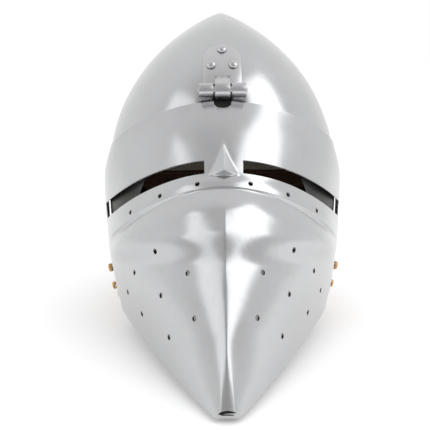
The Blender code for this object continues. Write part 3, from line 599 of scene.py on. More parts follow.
def polished_steel(name, colour, rough, scratch, covered=False):
    """Hand-polished steel: fine crossing scratches, cloudy polish and small dull spots, and where asked,
    painted shade read from a mesh attribute.
    """
    nodes = Nodes(name)
    lines = [nodes.noise(240, 2, 0.6, nodes.stretched((1, 1, 0.04), turn))
             for turn in ((0.2, 0.9, 0.1), (1.3, -0.5, 0.8))]
    scratches = nodes.maths("MAXIMUM", *lines)
    fine = nodes.spread(scratches, 0, 1, 0.55, 0.80)
    cloud = nodes.noise(26, 4, 0.6)
    spots = nodes.spread(nodes.noise(410, 2, 0.5), 0, 1, 0.66, 0.80)
    tone = nodes.ramp(cloud, ((0.25, tuple(0.93 * c for c in colour)), (0.75, colour)))
    dull = tuple(0.72 * c for c in colour)
    tone = nodes.mix(nodes.maths("MULTIPLY", spots, 0.5), tone, dull)
    roughness = nodes.spread(cloud, rough - 0.03, rough + 0.05, 0.3, 0.7)
    roughness = nodes.maths("ADD", roughness, nodes.maths("MULTIPLY", fine, 0.06))
    soft = nodes.bump(nodes.noise(38, 2, 0.4), 0.0010, 0.16)
    normal = nodes.bump(fine, 0.00002, scratch, soft)
    # Painted shade: where the mesh attribute is set, the steel is mixed towards near-black and made rougher.
    if covered:
        shade_mark = nodes.add("ShaderNodeAttribute", attribute_name="covered").outputs["Fac"]
        tone = nodes.mix(shade_mark, tone, (0.055, 0.053, 0.050))
        roughness = nodes.maths("ADD", roughness, nodes.maths("MULTIPLY", shade_mark, 0.25))
    return nodes.set(Base_Color=tone, Metallic=1.0, Roughness=roughness, Normal=normal)


def dark_inside_steel():
    """Inside of the sheet, left black from the fire and wiped with oil."""
    nodes = Nodes("inside_steel")
    cloud = nodes.noise(45, 5, 0.65)
    tone = nodes.ramp(cloud, ((0.3, (0.012, 0.012, 0.013)), (0.7, (0.045, 0.042, 0.040))))
    roughness = nodes.spread(cloud, 0.45, 0.72, 0.3, 0.7)
    normal = nodes.bump(nodes.noise(160, 3, 0.6), 0.0004, 0.5)
    return nodes.set(Base_Color=tone, Metallic=0.6, Roughness=roughness, Normal=normal)


def turned_brass():
    """Brass with turning lines and a darker tone where fingers don't rub."""
    nodes = Nodes("brass")
    cloud = nodes.noise(300, 3, 0.6)
    tone = nodes.ramp(cloud, ((0.30, (0.42, 0.235, 0.085)), (0.72, (0.80, 0.52, 0.25))))
    roughness = nodes.spread(nodes.noise(900, 2, 0.6), 0.20, 0.42, 0.3, 0.7)
    normal = nodes.bump(nodes.noise(1400, 2, 0.5, nodes.stretched((0.2, 0.2, 3.0))), 0.00008, 0.5)
    return nodes.set(Base_Color=tone, Metallic=1.0, Roughness=roughness, Normal=normal)


def strap_leather(name, dark, light):
    """Vegetable-tanned leather: pebbled grain, creases, worn lighter patches."""
    nodes = Nodes(name)
    grain = nodes.add("ShaderNodeTexVoronoi", feature="DISTANCE_TO_EDGE")
    edges = nodes.feed(grain, Scale=900, Vector=nodes.coords)["Distance"]
    pebble = nodes.spread(edges, 0, 1, 0.0, 0.25)
    wear = nodes.noise(70, 5, 0.65)
    tone = nodes.ramp(wear, ((0.30, dark), (0.74, light)))
    creases = nodes.spread(nodes.noise(240, 3, 0.6, nodes.stretched((1, 1, 0.25)), 0.6), 0, 1, 0.35, 0.65)
    tone = nodes.mix(nodes.spread(pebble, 0.55, 0.0), tone, tuple(0.45 * c for c in dark))
    normal = nodes.bump(creases, 0.0003, 0.5)
    normal = nodes.bump(pebble, 0.00018, 0.7, normal)
    roughness = nodes.spread(wear, 0.68, 0.46, 0.3, 0.7)
    return nodes.set(Base_Color=tone, Roughness=roughness, Normal=normal, Coat_Weight=0.06)


def quilted_linen():
    """Undyed linen: a plain weave in bump and colour, slubs, and soiling."""
    nodes = Nodes("quilted_linen")
    weave = []
    for turn in ((0, 0, 0), (0, 0, math.pi / 2)):
        wave = nodes.add("ShaderNodeTexWave", bands_direction="DIAGONAL" if turn[2] else "Z")
        vector = nodes.stretched((1, 1, 1), turn)
        weave.append(nodes.feed(wave, Scale=420, Distortion=1.2, Detail=1.0, Vector=vector)["Fac"])
    threads = nodes.maths("MULTIPLY", *weave)
    slubs = nodes.noise(420, 3, 0.7, nodes.stretched((1, 1, 0.15)))
    soil = nodes.noise(24, 5, 0.6)
    tone = nodes.ramp(soil, ((0.28, (0.30, 0.255, 0.19)), (0.72, (0.50, 0.455, 0.37))))
    tone = nodes.mix(nodes.spread(slubs, 0.0, 0.5, 0.4, 0.8), tone, (0.58, 0.54, 0.45))
    normal = nodes.bump(threads, 0.00025, 0.8)
    normal = nodes.bump(slubs, 0.0003, 0.4, normal)
    return nodes.set(Base_Color=tone, Roughness=0.92, Normal=normal, Sheen_Weight=0.25)


def waxed_thread():
    nodes = Nodes("waxed_thread")
    twist = nodes.noise(1800, 2, 0.5)
    tone = nodes.ramp(twist, ((0.3, (0.30, 0.24, 0.15)), (0.7, (0.52, 0.45, 0.32))))
    return nodes.set(Base_Color=tone, Roughness=0.7, Normal=nodes.bump(twist, 0.0001, 0.8))


STEEL = polished_steel("polished_steel", STEEL_COLOUR, STEEL_ROUGHNESS, STEEL_SCRATCH)
# The skull's steel also carries painted shade: near-black behind the sights and a painted shadow under the
# hinge knuckles.
SKULL_STEEL = polished_steel("skull_steel", STEEL_COLOUR, STEEL_ROUGHNESS, STEEL_SCRATCH, covered=True)
FIXING_STEEL = polished_steel("fixing_steel", (0.56, 0.56, 0.57), 0.26, 0.5)
INSIDE = dark_inside_steel()
BRASS = turned_brass()
LEATHER = strap_leather("brown_leather", (0.050, 0.020, 0.010), (0.19, 0.085, 0.042))
DARK_LEATHER = strap_leather("dark_strap_leather", (0.020, 0.012, 0.009), (0.075, 0.042, 0.028))
LINEN = quilted_linen()
THREAD = waxed_thread()


# ---- skull ----
def build_skull():
    """Raised skull in one fine sheet, with the face opening and the rounded lower corners."""
    columns = 220
    angles = np.linspace(0, 2 * math.pi, columns, endpoint=False)[None, :]
    low = np.linspace(0, EAR_HEIGHT, 46)[:-1]
    share = np.sin(np.linspace(0, math.pi / 2, 90))
    high = EAR_HEIGHT + (SKULL_HEIGHT - 0.0006 - EAR_HEIGHT) * share
    heights = np.concatenate((low, high))[:, None]
    base = skull_point(heights, angles)
    normal = skull_normal(heights, angles)
    calm = smoothstep(0.0, 0.02, SKULL_HEIGHT - heights)
    outer = base + (hammered(base, 0.00018) * calm)[..., None] * normal
    inner = base - SKULL_SHEET * normal
    outer[0, :, 2] = 0.0
    inner[0, :, 2] = 0.0
    rows = len(heights)
    count = rows * columns
    apex = np.array(((0, APEX_FORWARD, SKULL_HEIGHT), (0, APEX_FORWARD, inner[-1, :, 2].max() + 0.0003)))
    points = np.concatenate((outer.reshape(-1, 3), inner.reshape(-1, 3), apex))
    faces, slots = [], []
    for j in range(columns):
        k = (j + 1) % columns
        for side in (0, count):
            for i in range(rows - 1):
                faces.append((side + i * columns + j, side + i * columns + k,
                              side + (i + 1) * columns + k, side + (i + 1) * columns + j))
            last = side + (rows - 1) * columns
            faces.append((last + j, last + k, 2 * count + (side > 0)))
            slots += [int(side > 0)] * rows
        faces.append((j, k, count + k, count + j))
        slots.append(0)
    mesh = bpy.data.meshes.new("skull_shell")
    mesh.from_pydata(world(points), [], faces)
    mesh.polygons.foreach_set("material_index", slots)
    skull = new_object("skull_shell", face_outwards(mesh), (SKULL_STEEL, INSIDE), 0)

    arc = np.linspace(0, math.pi, 49)
    spring = 0.105
    outline = [(FACE_HALF_WIDTH, -0.01)]
    outline += [(FACE_HALF_WIDTH * 0.90 * math.cos(a), spring + (BROW_HEIGHT - spring) * math.sin(a))
                for a in arc]
    outline += [(-FACE_HALF_WIDTH, -0.01)]
    quarter = np.linspace(0, math.pi / 2, 25)[1:]
    corner = [(0.045, -0.01), (0.045, -0.0002), (0.052, -0.0002)]
    corner += [(0.052 + 0.034 * math.sin(a), 0.030 * (1 - math.cos(a))) for a in quarter]
    corner += [(0.15, 0.030), (0.15, -0.01)]
    boolean(skull, [prism_mesh("face", outline, 0.02, 0.20, "forward"),
                    prism_mesh("corner", corner, -0.12, 0.12, "x")])
    skull.data.set_sharp_from_angle(angle=math.radians(50))
    # Painted shade behind the sights and painted shadow under the hinge knuckles, stored as a mesh
    # attribute.
    paint_sight_and_hinge_shade(skull.data)
    return finish_piece(skull, SKULL, ["skull"])


def paint_sight_and_hinge_shade(mesh):
    """Paints shade into the skull steel that the shut visor covers: near-black behind the sights, so that
    they look dark from the front, and under the hinge knuckles as their shadow.

    How the real steel is finished there isn't known. With the visor up it shows as dark patches.
    """
    points = np.empty(len(mesh.vertices) * 3)
    mesh.vertices.foreach_get("co", points)
    x, y, z = points.reshape(-1, 3).T
    forward = ORIGIN_FORWARD - y
    # Painted shade behind the sights.
    sights = smoothstep(0.000, 0.022, forward) * (1 - smoothstep(0.116, 0.140, z))
    sights = sights * smoothstep(0.060, 0.085, z)
    # Painted shadow under the hinge knuckles.
    hinge = (1 - smoothstep(0.013, 0.022, np.abs(x))) * smoothstep(0.060, 0.080, forward)
    hinge = hinge * smoothstep(0.165, 0.176, z) * (1 - smoothstep(0.190, 0.197, z))
    covered = np.maximum(0.95 * sights, hinge)
    attribute = mesh.attributes.new("covered", "FLOAT", "POINT")
    attribute.data.foreach_set("value", covered)


# ---- visor ----
def breath_holes():
    """Places and radii of the holes on both sides."""
    groups = ((BREATH_HOLES, BREATH_HOLE_RADIUS), (FLANGE_HOLES, FLANGE_HOLE_RADIUS))
    return [(t, side * s, radius) for group, radius in groups for t, s in group for side in (-1, 1)]


def stations(*runs):
    """Joins runs of (start, end, count) into one rising list of values."""
    parts = [np.linspace(start, end, count, endpoint=False) for start, end, count in runs]
    return np.concatenate(parts + [[runs[-1][1]]])


def build_visor():
    """Visor in one fine sheet, with the sights left open and the breaths bored."""
    ts = stations((0.0, SLIT_TOP, 40), (SLIT_TOP, SLIT_BOTTOM, 14), (SLIT_BOTTOM, FLANGE_END - 0.006, 26),
                  (FLANGE_END - 0.006, FLANGE_END + 0.010, 8), (FLANGE_END + 0.010, 0.70, 46),
                  (0.70, 1.0, 60))
    half = stations((0.0, 0.05, 8), (0.05, SLIT_INNER, 6), (SLIT_INNER, 0.20, 14),
                    (0.20, SLIT_OUTER, 66), (SLIT_OUTER, 1.0, 20))
    ss = np.concatenate((-half[:0:-1], half))
    t_grid, s_grid = np.meshgrid(ts, ss, indexing="ij")
    t_mid, s_mid = np.meshgrid((ts[1:] + ts[:-1]) / 2, (ss[1:] + ss[:-1]) / 2, indexing="ij")
    sights = (t_mid > SLIT_TOP) & (t_mid < SLIT_BOTTOM)
    sights &= (np.abs(s_mid) > SLIT_INNER) & (np.abs(s_mid) < SLIT_OUTER)
    outer = visor_point(t_grid, s_grid)
    inner = visor_point(t_grid, s_grid, VISOR_SHEET)
    mesh = grid_sheet("visor_shell", outer, inner, 0.0004, missing=sights)
    visor = new_object("visor_shell", mesh, (STEEL, INSIDE))
    cutters = []
    for t, s, radius in breath_holes():
        drill = turned_mesh("drill", ((radius, -0.005), (radius, 0.005)), 32)
        drill.transform(aligned(world(visor_point(t, s, VISOR_SHEET / 2)), turned(visor_normal(t, s))))
        cutters.append(drill)
    boolean(visor, [join_meshes("drills", cutters), notch_cutter()])
    trim_tip(visor)
    boolean(visor, [snout_lip()], "UNION")
    visor.data.set_sharp_from_angle(angle=math.radians(42))
    return finish_piece(visor, VISOR, ["visor"])


def notch_cutter():
    """Round-footed notch in the visor's top edge that clears the middle knuckle."""
    half = NOTCH_HALF_WIDTH
    outline = [(half, PIN_HEIGHT + 0.01), (-half, PIN_HEIGHT + 0.01)]
    outline += [(half * math.cos(a), NOTCH_FOOT + 0.5 * half * (1 + math.sin(a)))
                for a in np.linspace(-math.pi, 0, 25)]
    return prism_mesh("notch", outline, PIN_FORWARD - 0.02, PIN_FORWARD + 0.02, "forward")


def tip_axes():
    """Directions up along the cut tip and out of it, as (forward, height)."""
    along = (math.sin(SNOUT_CUT_LEAN), math.cos(SNOUT_CUT_LEAN))
    outward = (math.cos(SNOUT_CUT_LEAN), -math.sin(SNOUT_CUT_LEAN))
    return along, outward


def trim_tip(visor):
    """Cut the snout off square, leaning forward at the bottom, and close the cut edge of the sheet."""
    _, outward = tip_axes()
    forward, height = SNOUT_CUT
    bm = bmesh.new()
    bm.from_mesh(visor.data)
    behind = world((0, forward - 0.02, 0))[1]
    faces = [face for face in bm.faces if face.calc_center_median().y < behind]
    region = set(faces)
    for face in faces:
        region.update(face.verts)
        region.update(face.edges)
    bmesh.ops.bisect_plane(bm, geom=list(region), dist=1e-7, plane_co=world((0, forward, height)),
                           plane_no=turned((0, *outward)), clear_outer=True)
    cut_edges = [edge for edge in bm.edges if len(edge.link_faces) == 1]
    bmesh.ops.triangle_fill(bm, edges=cut_edges, use_beauty=True)
    bmesh.ops.recalc_face_normals(bm, faces=bm.faces)
    bm.to_mesh(visor.data)
    bm.free()


def snout_lip():
    """Lip turned in at the bottom of the cut tip."""
    along, _ = tip_axes()
    forward, height = SNOUT_CUT
    corners = ((-0.0066, 0.0002), (0.0066, 0.0002), (0.0048, LIP_HEIGHT), (-0.0048, LIP_HEIGHT))
    return joined_rings("lip", [[(half, forward + rise * along[0] - depth, height + rise * along[1])
                                 for half, rise in corners] for depth in (0.0002, 0.0016)])


# ---- hinge ----
PIN = world((0, PIN_FORWARD, PIN_HEIGHT))
SIDEWAYS = aligned(PIN, (1, 0, 0))


def knuckle_mesh(name, near, far, foot_points, radius=KNUCKLE_RADIUS):
    """Rolled end of a leaf: a round eye that runs off tangentially into a web, bored for the pin."""
    arc_from, arc_to = (math.radians(a) for a in foot_points[0])
    normal = skull_normal(PIN_HEIGHT, 0.0)
    lean = math.atan2(normal[2], normal[1])
    arc = []
    for a in np.linspace(arc_from, arc_to, 60):
        square = (abs(math.cos(a - lean))**4 + abs(math.sin(a - lean))**4)**-0.25
        reach = radius * (1 + 0.5 * (square - 1))
        arc.append((PIN_FORWARD + reach * math.cos(a), PIN_HEIGHT + reach * math.sin(a)))
    knuckle = linked(name, prism_mesh(name, arc + list(foot_points[1]), near, far, "x"))
    bevel = knuckle.modifiers.new("soft_edges", "BEVEL")
    bevel.width = 0.0004
    bevel.segments = 2
    bevel.limit_method = "ANGLE"
    bevel.angle_limit = math.radians(50)
    apply_modifiers(knuckle)
    bore = turned_mesh("bore", ((PIN_RADIUS + GAP, -0.03), (PIN_RADIUS + GAP, 0.03)), 40)
    bore.transform(SIDEWAYS)
    return take_mesh(boolean(knuckle, [bore]))


def build_skull_leaf():
    """Leaf riveted to the brow, whose strip rolls down into the middle knuckle."""
    low = PIN_HEIGHT + 0.0035
    fine = np.linspace(low, low + 0.05, 2000)
    travelled = np.concatenate(([0], np.cumsum(np.hypot(np.diff(fine), np.diff(skull_front(fine))))))
    shares = 1 - (1 - np.linspace(0, 1, 44))**1.6
    heights = np.interp(shares * LEAF_LENGTH, travelled, fine)
    halves = LEAF_HALF_WIDTH * np.sqrt(np.maximum(1 - np.maximum((shares - 0.55) / 0.455, 0)**2, 0.004))
    across = np.linspace(-1, 1, 31)
    z = np.repeat(heights[:, None], len(across), 1)
    angle = angle_at(z, halves[:, None] * across[None, :])
    crown = 1 - 0.35 * np.abs(across[None, :])**6 * np.ones_like(z)
    outer = skull_offset(z, angle, GAP + LEAF_SHEET * crown)
    inner = skull_offset(z, angle, GAP + 0 * z)
    leaf = grid_sheet("leaf_plate", outer, inner, 0.0004)
    foot = skull_offset(low, 0.0, GAP + LEAF_SHEET)
    heel = skull_offset(low, 0.0, GAP)
    high = skull_offset(low + 0.006, 0.0, GAP + LEAF_SHEET)
    tangent = math.degrees(math.atan2(high[2] - foot[2], high[1] - foot[1])) - 90
    ends = [(high[1], high[2]), (high[1] - 0.0008, high[2] - 0.0004), (heel[1], heel[2])]
    knuckle = knuckle_mesh("middle_knuckle", -MIDDLE_EYE_HALF, MIDDLE_EYE_HALF,
                           ((-150, tangent + 20), ends), MIDDLE_EYE_RADIUS)
    mesh = join_meshes("skull_leaf", [leaf, knuckle])
    leaf = new_object("skull_leaf_fine", mesh, (FIXING_STEEL, FIXING_STEEL), 35)
    finish_piece(leaf, SKULL, ["skull_hinge_leaf"])

    rivet_low = heights[0] + 0.47 * (heights[-1] - heights[0])
    rivet_high = heights[0] + 0.86 * (heights[-1] - heights[0])
    mesh = rivet_mesh("hinge_rivet", HINGE_RIVET_RADIUS, HINGE_RIVET_HEIGHT)
    rivets = [("top", rivet_high, 0.0)]
    rivets += [(word, rivet_low, side * HINGE_RIVET_SPREAD) for side, word in SIDES]
    for word, z, x in rivets:
        place = seat_on_skull(z, angle_at(z, x), 2 * GAP + LEAF_SHEET)
        stud(f"hinge_rivet_{word}", mesh, FIXING_STEEL, place, 50)


def rivet_mesh(name, radius, height):
    """Hammered dome with a soft skirt."""
    angles = np.linspace(math.radians(12), math.pi / 2, 14)
    profile = [(radius, 0.0), (radius, height * 0.10)]
    profile += [(radius * math.cos(a)**0.9, height * (0.08 + 0.92 * math.sin(a))) for a in angles[:-1]]
    profile += [(0.0, height)]
    return turned_mesh(name, profile, 36)


def stud(node, mesh, material, place, sharp):
    """Small turned piece that stands for the node of the same name."""
    if not mesh.materials:
        mesh.materials.append(material)
        mesh.shade_smooth()
        mesh.set_sharp_from_angle(angle=math.radians(sharp))
    item = linked(node + "_fine", mesh)
    item.matrix_world = place
    return finish_piece(item, SKULL, [node])


def build_visor_leaf():
    """Leaf inside the visor with the two outer knuckles, and the pin with its peened ends."""
    ts = np.linspace(0.002, 0.10, 20)[:, None]
    ss = np.linspace(-0.092, 0.092, 41)[None, :]
    near = VISOR_SHEET + GAP
    plate_item = new_object("plate", grid_sheet("visor_plate", visor_point(ts, ss, near),
                                                visor_point(ts, ss, near + LEAF_SHEET), 0.0003), ())
    pieces = [take_mesh(boolean(plate_item, [notch_cutter()]))]
    edge = visor_point(0.0, 0.07, near)
    back = visor_point(0.012, 0.07, near + LEAF_SHEET)
    ends = [(edge[1] - 0.0012, edge[2] + 0.0004), (back[1] + 0.0006, back[2]), (back[1] - 0.0004, back[2])]
    for side in (-1, 1):
        near_x, far_x = sorted((side * OUTER_EYE_START, side * KNUCKLE_HALF_SPAN))
        pieces.append(knuckle_mesh("outer_knuckle", near_x, far_x, ((205, -75), ends)))
    leaf = new_object("visor_leaf_fine", join_meshes("visor_leaf", pieces), (FIXING_STEEL, FIXING_STEEL), 35)
    finish_piece(leaf, VISOR, ["visor_hinge_leaf"])

    end = KNUCKLE_HALF_SPAN + 0.0010
    crown = [(0.0, -end), (PIN_RADIUS * 0.7, -end + 0.0001), (PIN_RADIUS, -end + 0.0006)]
    profile = crown + [(r, -h) for r, h in reversed(crown)]
    stud("hinge_pin", turned_mesh("pin", profile, 32), FIXING_STEEL, SIDEWAYS, 40)


# ---- leather band and vervelles ----
def cheek_share(angle):
    return smoothstep(0.0, 1.0, (np.cos(angle) + 0.1) / 0.8)


def band_height(angle):
    return 0.024 + 0.010 * cheek_share(angle)


def band_half_width(angle):
    return 0.0085 + 0.0095 * cheek_share(angle)


def band_foot(angle):
    """Lower edge of the band, with the tab that hangs down at the wearer's left cheek."""
    degrees = np.degrees(angle)
    tab = smoothstep(TAB_ANGLES[0] - 3, TAB_ANGLES[0] + 1, degrees)
    tab = tab * (1 - smoothstep(TAB_ANGLES[1], TAB_ANGLES[1] + 3, degrees))
    low = band_height(angle) - band_half_width(angle)
    return low + (TAB_FOOT - low) * tab


def stitch_row(places, normals, length, radius):
    """Short sunk stitches along a row of points; every other gap is thread."""
    bm = bmesh.new()
    for i in range(0, len(places) - 1, 2):
        run = Vector(places[i + 1] - places[i])
        centre = Vector((places[i] + places[i + 1]) / 2)
        matrix = aligned(centre, run, normals[i]) @ Matrix.Diagonal((radius * 0.7, radius, length / 2, 1))
        bmesh.ops.create_uvsphere(bm, u_segments=8, v_segments=6, radius=1.0, matrix=matrix)
    return mesh_from(bm, "stitches")


def sew(name, spots, seams, distance, length):
    """Rows of stitches round the skull, one for each seam's heights, at a distance off its surface."""
    rows = []
    for height in seams:
        seats = world(skull_offset(height, spots, distance + 0 * spots))
        rows.append(stitch_row(seats, turned(skull_normal(height, spots)), length, THREAD_RADIUS))
    finish_piece(new_object(name, join_meshes(name, rows), (THREAD,)), SKULL, ())


def build_band():
    angles = np.linspace(BAND_END, 2 * math.pi - BAND_END, 300)[None, :]
    shares = np.linspace(0, 1, 15)[:, None]
    low, high = band_foot(angles), band_height(angles) + band_half_width(angles)
    z = low + (high - low) * shares
    angle = angles + 0 * shares
    sag = 0.0005 * np.sin(angle * 31) * (1 - shares)**2
    outer = skull_offset(z, angle, 2 * GAP + BAND_SHEET * (1 - 0.12 * np.abs(2 * shares - 1)**4) + sag)
    inner = skull_offset(z, angle, 2 * GAP + np.maximum(sag, 0) + 0 * z)
    add_piece("aventail_band", grid_sheet("band", outer, inner, 0.0006), (LEATHER, LEATHER))

    spots = np.linspace(BAND_END + 0.03, 2 * math.pi - BAND_END - 0.03, 260)
    seams = (band_height(spots) + band_half_width(spots) - SEAM_MARGIN, band_foot(spots) + SEAM_MARGIN)
    sew("band_stitches", spots, seams, 2 * GAP + BAND_SHEET * 0.97, 0.0026)


def vervelle_mesh():
    """Turned stud with a foot, a waist, a rounded head and a cross bore."""
    profile = ((0.0, 0.0), (0.97, 0.0), (1.0, 0.05), (1.0, 0.13), (0.90, 0.19), (0.88, 0.30), (0.93, 0.42),
               (0.98, 0.55), (1.0, 0.66), (0.99, 0.78), (0.93, 0.88), (0.80, 0.95), (0.55, 0.99), (0.0, 1.0))
    body = turned_mesh("vervelle", [(VERVELLE_RADIUS * r, VERVELLE_HEIGHT * h) for r, h in profile], 40)
    bore = turned_mesh("cord_bore", ((VERVELLE_BORE, -0.01), (VERVELLE_BORE, 0.01)), 28)
    bore.transform(aligned((0, 0, VERVELLE_HEIGHT * 0.62), (1, 0, 0)))
    return take_mesh(boolean(linked("vervelle_body", body), [bore]))


def build_vervelles():
    mesh = vervelle_mesh()
    for side, word in SIDES:
        for number, degrees in enumerate(VERVELLE_ANGLES, 1):
            angle = side * math.radians(degrees)
            z = band_height(angle) - VERVELLE_DROP
            along = skull_point(z, angle + 0.01) - skull_point(z, angle - 0.01)
            add_vervelle(f"vervelle_{word}_{number}", mesh, z, angle, turned(along))
        degrees, z = UPPER_VERVELLE
        add_vervelle(f"vervelle_{word}_cheek", mesh, z, side * math.radians(degrees), (0, 0, 1))


def add_vervelle(name, mesh, z, angle, bore):
    stud(name, mesh, BRASS, seat_on_skull(z, angle, 3 * GAP + BAND_SHEET, bore), 45)


# ---- liner ----
def liner_height(angle):
    return 0.084 + 0.086 * ((1 + np.cos(angle)) / 2)**1.5


def build_liner():
    angle = np.linspace(0, 2 * math.pi, 264, endpoint=False)[None, :]
    shares = np.linspace(0, 1, 11)[:, None]
    gap = SKULL_SHEET + LINER_CLEARANCE
    z = liner_height(angle) + shares * LINER_BAND_WIDTH
    full = 0 * z
    bow = LINER_BAND_SHEET * (1 - 0.12 * np.abs(2 * shares - 1)**4)
    band = grid_sheet("liner_strip", skull_offset(z, angle + full, -gap + full),
                      skull_offset(z, angle + full, -gap - bow + full), 0.0005, closed=True)
    add_piece("liner_band", band, (LEATHER, LEATHER))
    spots = np.linspace(0, 2 * math.pi, 300)
    seams = [liner_height(spots) + share * LINER_BAND_WIDTH for share in (0.14, 0.86)]
    sew("liner_stitches", spots, seams, -gap - LINER_BAND_SHEET * 0.96, 0.0024)

    shares = np.linspace(0, 1, 46)[:, None]
    start = liner_height(angle) + LINER_BAND_WIDTH + 0.001
    z = start + (LINER_TOP - start) * np.sin(shares * math.pi / 2)
    turn = angle + 0 * z
    outside = gap + CROWN_CLEARANCE
    lobe = np.abs(np.sin(turn * CROWN_LOBES / 2))**0.55
    ends = (1 - np.abs(2 * shares - 1)**8)**0.5
    cross_rows = 0.75 + 0.25 * np.abs(np.sin(shares * math.pi * 5))**0.5
    puff = LINER_PAD * (0.22 + 0.78 * lobe * ends * cross_rows)
    pucker = 0.0005 * np.sin(turn * 97) * (1 - lobe) + 0.0004 * np.sin(turn * 61 + shares * 9)
    crown = grid_sheet("liner_quilt", skull_offset(z, turn, -outside + 0 * z),
                       skull_offset(z, turn, -outside - np.clip(puff + pucker, 0.001, LINER_PAD)),
                       0.0008, closed=True)
    item = add_piece("liner_crown", crown, (LINEN, LINEN), sharp=60)

    mesh = rivet_mesh("liner_rivet", LINER_RIVET_RADIUS, RIVET_HEIGHT)
    for side, word in SIDES:
        for number, degrees in enumerate(LINER_RIVET_ANGLES, 1):
            at = side * math.radians(degrees)
            height = liner_height(at) + 0.35 * LINER_BAND_WIDTH
            place = seat_on_skull(height, at, GAP)
            stud(f"liner_rivet_{word}_{number}", mesh, FIXING_STEEL, place, 50)


# ---- chin straps and buckle ----
def strap_path(side, end_x):
    """Centre line of a strap in (x, z): down the cheek, round a bend and in along the floor."""
    wall = skull_offset(STRAP_TOP, side * math.radians(64), -SKULL_SHEET)[0]
    x = abs(wall) - 0.0085
    low = STRAP_FLOOR + STRAP_SHEET / 2
    path = [(x, z) for z in np.linspace(STRAP_TOP, low + BEND_RADIUS, 12)[:-1]]
    path += [(x - BEND_RADIUS * (1 - math.cos(a)), low + BEND_RADIUS * (1 - math.sin(a)))
             for a in np.linspace(0, math.pi / 2, 16)]
    path += [(px, low) for px in np.linspace(x - BEND_RADIUS, abs(end_x), 30)[1:]]
    return np.array([(side * px, pz) for px, pz in path])


def strap_mesh(name, path, taper):
    """Flat strap with softened edges along a path in the XZ plane, with a pointed end if tapered."""
    runs = np.gradient(path, axis=0)
    runs /= np.linalg.norm(runs, axis=1, keepdims=True)
    across = np.linspace(-1, 1, 13)
    left = np.concatenate(([0], np.cumsum(np.linalg.norm(np.diff(path, axis=0), axis=1))))
    left = left[-1] - left
    half = np.full(len(path), STRAP_WIDTH / 2)
    if taper:
        rounded = STRAP_WIDTH / 2 * np.sqrt(np.clip(1 - (1 - left / STRAP_POINT)**2, 0.06, 1))
        half = np.where(left < STRAP_POINT, rounded, half)
    grids = []
    for side in (1, -1):
        thick = side * STRAP_SHEET / 2 * (1 - 0.22 * np.abs(across)**6)
        x = path[:, :1] - runs[:, 1:] * thick
        z = path[:, 1:] + runs[:, :1] * thick
        forward = STRAP_FORWARD + half[:, None] * across
        grids.append(np.stack((x, forward, z), -1))
    return grid_sheet(name, grids[0], grids[1], 0.0004)


def build_straps():
    left = strap_path(-1, BUCKLE_X - BUCKLE_WIRE - 0.0004)
    right = strap_path(1, -0.001)
    low = STRAP_FLOOR + STRAP_SHEET / 2
    leather = (DARK_LEATHER, DARK_LEATHER)
    add_piece("chin_strap_left", strap_mesh("strap_left", left, False), leather)
    item = new_object("chin_strap_right_fine", strap_mesh("strap_right", right, True), leather)
    punches = []
    for i in range(5):
        punch = turned_mesh("punch", ((0.0011, -0.004), (0.0011, 0.004)), 20)
        punch.transform(Matrix.Translation(world((PUNCH_STEP * (i + 1), STRAP_FORWARD, low))))
        punches.append(punch)
    boolean(item, [join_meshes("punches", punches)])
    finish_piece(item, SKULL, ["chin_strap_right"])

    mesh = rivet_mesh("strap_rivet", STRAP_RIVET_RADIUS, RIVET_HEIGHT)
    for side, word in SIDES:
        x = side * (abs(left[0][0]) - STRAP_SHEET / 2 - GAP)
        place = aligned(world((x, STRAP_FORWARD, STRAP_TOP - 0.006)), (-side, 0, 0))
        stud(f"strap_rivet_{word}", mesh, FIXING_STEEL, place, 50)
    build_buckle()


def wire_mesh(name, points, radii, closed, sides=20):
    """Round wire along a path of local points; its radius may vary."""
    bm = bmesh.new()
    rings = []
    count = len(points)
    for i, point in enumerate(points):
        before = points[(i - 1) % count if closed else max(i - 1, 0)]
        after = points[(i + 1) % count if closed else min(i + 1, count - 1)]
        place = aligned(point, Vector(after) - Vector(before))
        ring = [place @ Vector((radii[i] * math.cos(a), radii[i] * math.sin(a), 0))
                for a in np.linspace(0, 2 * math.pi, sides, endpoint=False)]
        rings.append([bm.verts.new(p) for p in ring])
    if not closed:
        bm.faces.new(rings[0])
        bm.faces.new(rings[-1])
    for low, high in zip(rings, rings[1:] + (rings[:1] if closed else [])):
        for k in range(sides):
            m = (k + 1) % sides
            bm.faces.new((low[k], low[m], high[m], high[k]))
    return closed_mesh(bm, name)


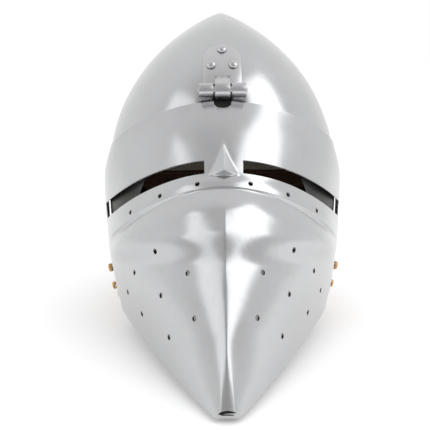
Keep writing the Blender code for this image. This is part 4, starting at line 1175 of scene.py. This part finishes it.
def build_buckle():
    """D-shaped wire frame and its tongue, both on the bar at the strap's end."""
    place = Matrix.Translation(world((BUCKLE_X, STRAP_FORWARD, STRAP_FLOOR + STRAP_SHEET / 2 + 0.0004)))
    corner = BUCKLE_CORNER
    length, reach = BUCKLE_LENGTH, STRAP_WIDTH / 2 + BUCKLE_MARGIN
    corners = ((length - corner, reach - corner), (corner, reach - corner),
               (corner, corner - reach), (length - corner, corner - reach))
    points = []
    for start, (cx, cy) in enumerate(corners):
        points += [(cx + corner * math.cos(a), cy + corner * math.sin(a), 0)
                   for a in math.pi / 2 * (start + np.linspace(0, 1, 10))]
    mesh = wire_mesh("frame_wire", points, [BUCKLE_WIRE] * len(points), True)
    frame_item = new_object("buckle_frame_fine", mesh, (BRASS,))
    frame_item.matrix_world = place
    finish_piece(frame_item, "buckle_body", ["buckle_frame"])
    radius = BUCKLE_WIRE + TONGUE_WIRE + 0.0002 + GAP
    points = [(radius * math.cos(a), 0, radius * math.sin(a)) for a in np.radians(np.linspace(-50, 40, 10))]
    points += [(x, 0, 0.0026 + 0.0001 * math.sin(x * 300)) for x in np.linspace(0.0042, 0.0152, 10)]
    radii = [TONGUE_WIRE * (1 - 0.35 * i / len(points)) for i in range(len(points))]
    tongue = new_object("buckle_tongue_fine", wire_mesh("tongue_wire", points, radii, False), (BRASS,))
    tongue.matrix_world = place
    finish_piece(tongue, "tongue_body", ["buckle_tongue"])


# ---- studio ----
def aimed(place, aim):
    """Matrix of a lamp or camera at the place, looking at the aim."""
    place, aim = Vector(place), Vector(aim)
    return Matrix.Translation(place) @ (aim - place).to_track_quat("-Z", "Y").to_matrix().to_4x4()


def build_studio():
    """White surroundings that grow greyer in front of the face, a pale floor, two lamps and the camera."""
    scene = bpy.context.scene
    scene.view_settings.view_transform = "Standard"
    world_light = bpy.data.worlds.new("studio")
    world_light.use_nodes = True
    tree = world_light.node_tree
    background = tree.nodes["Background"]
    background.inputs["Color"].default_value = (1.0, 1.0, 1.0, 1)
    direction = tree.nodes.new("ShaderNodeTexCoord")
    split = tree.nodes.new("ShaderNodeSeparateXYZ")
    tree.links.new(direction.outputs["Generated"], split.inputs["Vector"])
    fade = tree.nodes.new("ShaderNodeMapRange")
    fade.interpolation_type = "SMOOTHSTEP"
    for name, value in (("From Min", -0.9), ("From Max", 0.25), ("To Min", FRONT_GREY), ("To Max", 1.0)):
        fade.inputs[name].default_value = value
    tree.links.new(split.outputs["Y"], fade.inputs["Value"])
    tree.links.new(fade.outputs["Result"], background.inputs["Strength"])
    scene.world = world_light

    mesh = bpy.data.meshes.new("floor")
    corners = [(x * FLOOR_HALF, y * FLOOR_HALF, 0) for x, y in ((-1, -1), (1, -1), (1, 1), (-1, 1))]
    mesh.from_pydata(corners, [], [(0, 1, 2, 3)])
    paper = Nodes("paper")
    tone = paper.ramp(paper.noise(3, 2), ((0.3, (0.94, 0.94, 0.94)), (0.7, (0.96, 0.96, 0.96))))
    mesh.materials.append(paper.set(Base_Color=tone, Roughness=0.9, Emission_Color=(1, 1, 1, 1),
                                    Emission_Strength=FLOOR_GLOW))
    floor = linked("floor", mesh)

    for place, size, power in LAMPS:
        lamp(place, size, power)

    aim = Vector(world(CAMERA_AIM))
    camera = bpy.data.cameras.new("camera")
    camera.sensor_width = 36
    camera.lens = CAMERA_LENS
    item = linked("camera", camera)
    eye = aim + CAMERA_DISTANCE * Vector((0, -math.cos(CAMERA_ELEVATION), math.sin(CAMERA_ELEVATION)))
    item.matrix_world = aimed(eye, aim) @ Matrix.Rotation(CAMERA_ROLL, 4, "Z")
    scene.camera = item


def lamp(place, size, power):
    """Soft square light aimed at the middle of the helmet."""
    light = bpy.data.lights.new("softbox", "AREA")
    light.size = size
    light.energy = power
    linked("softbox", light).matrix_world = aimed(place, (0, 0, 0.12))


# ---- assembly ----
build_skull()
build_visor()
build_skull_leaf()
build_visor_leaf()
build_band()
build_vervelles()
build_liner()
build_straps()
build_studio()
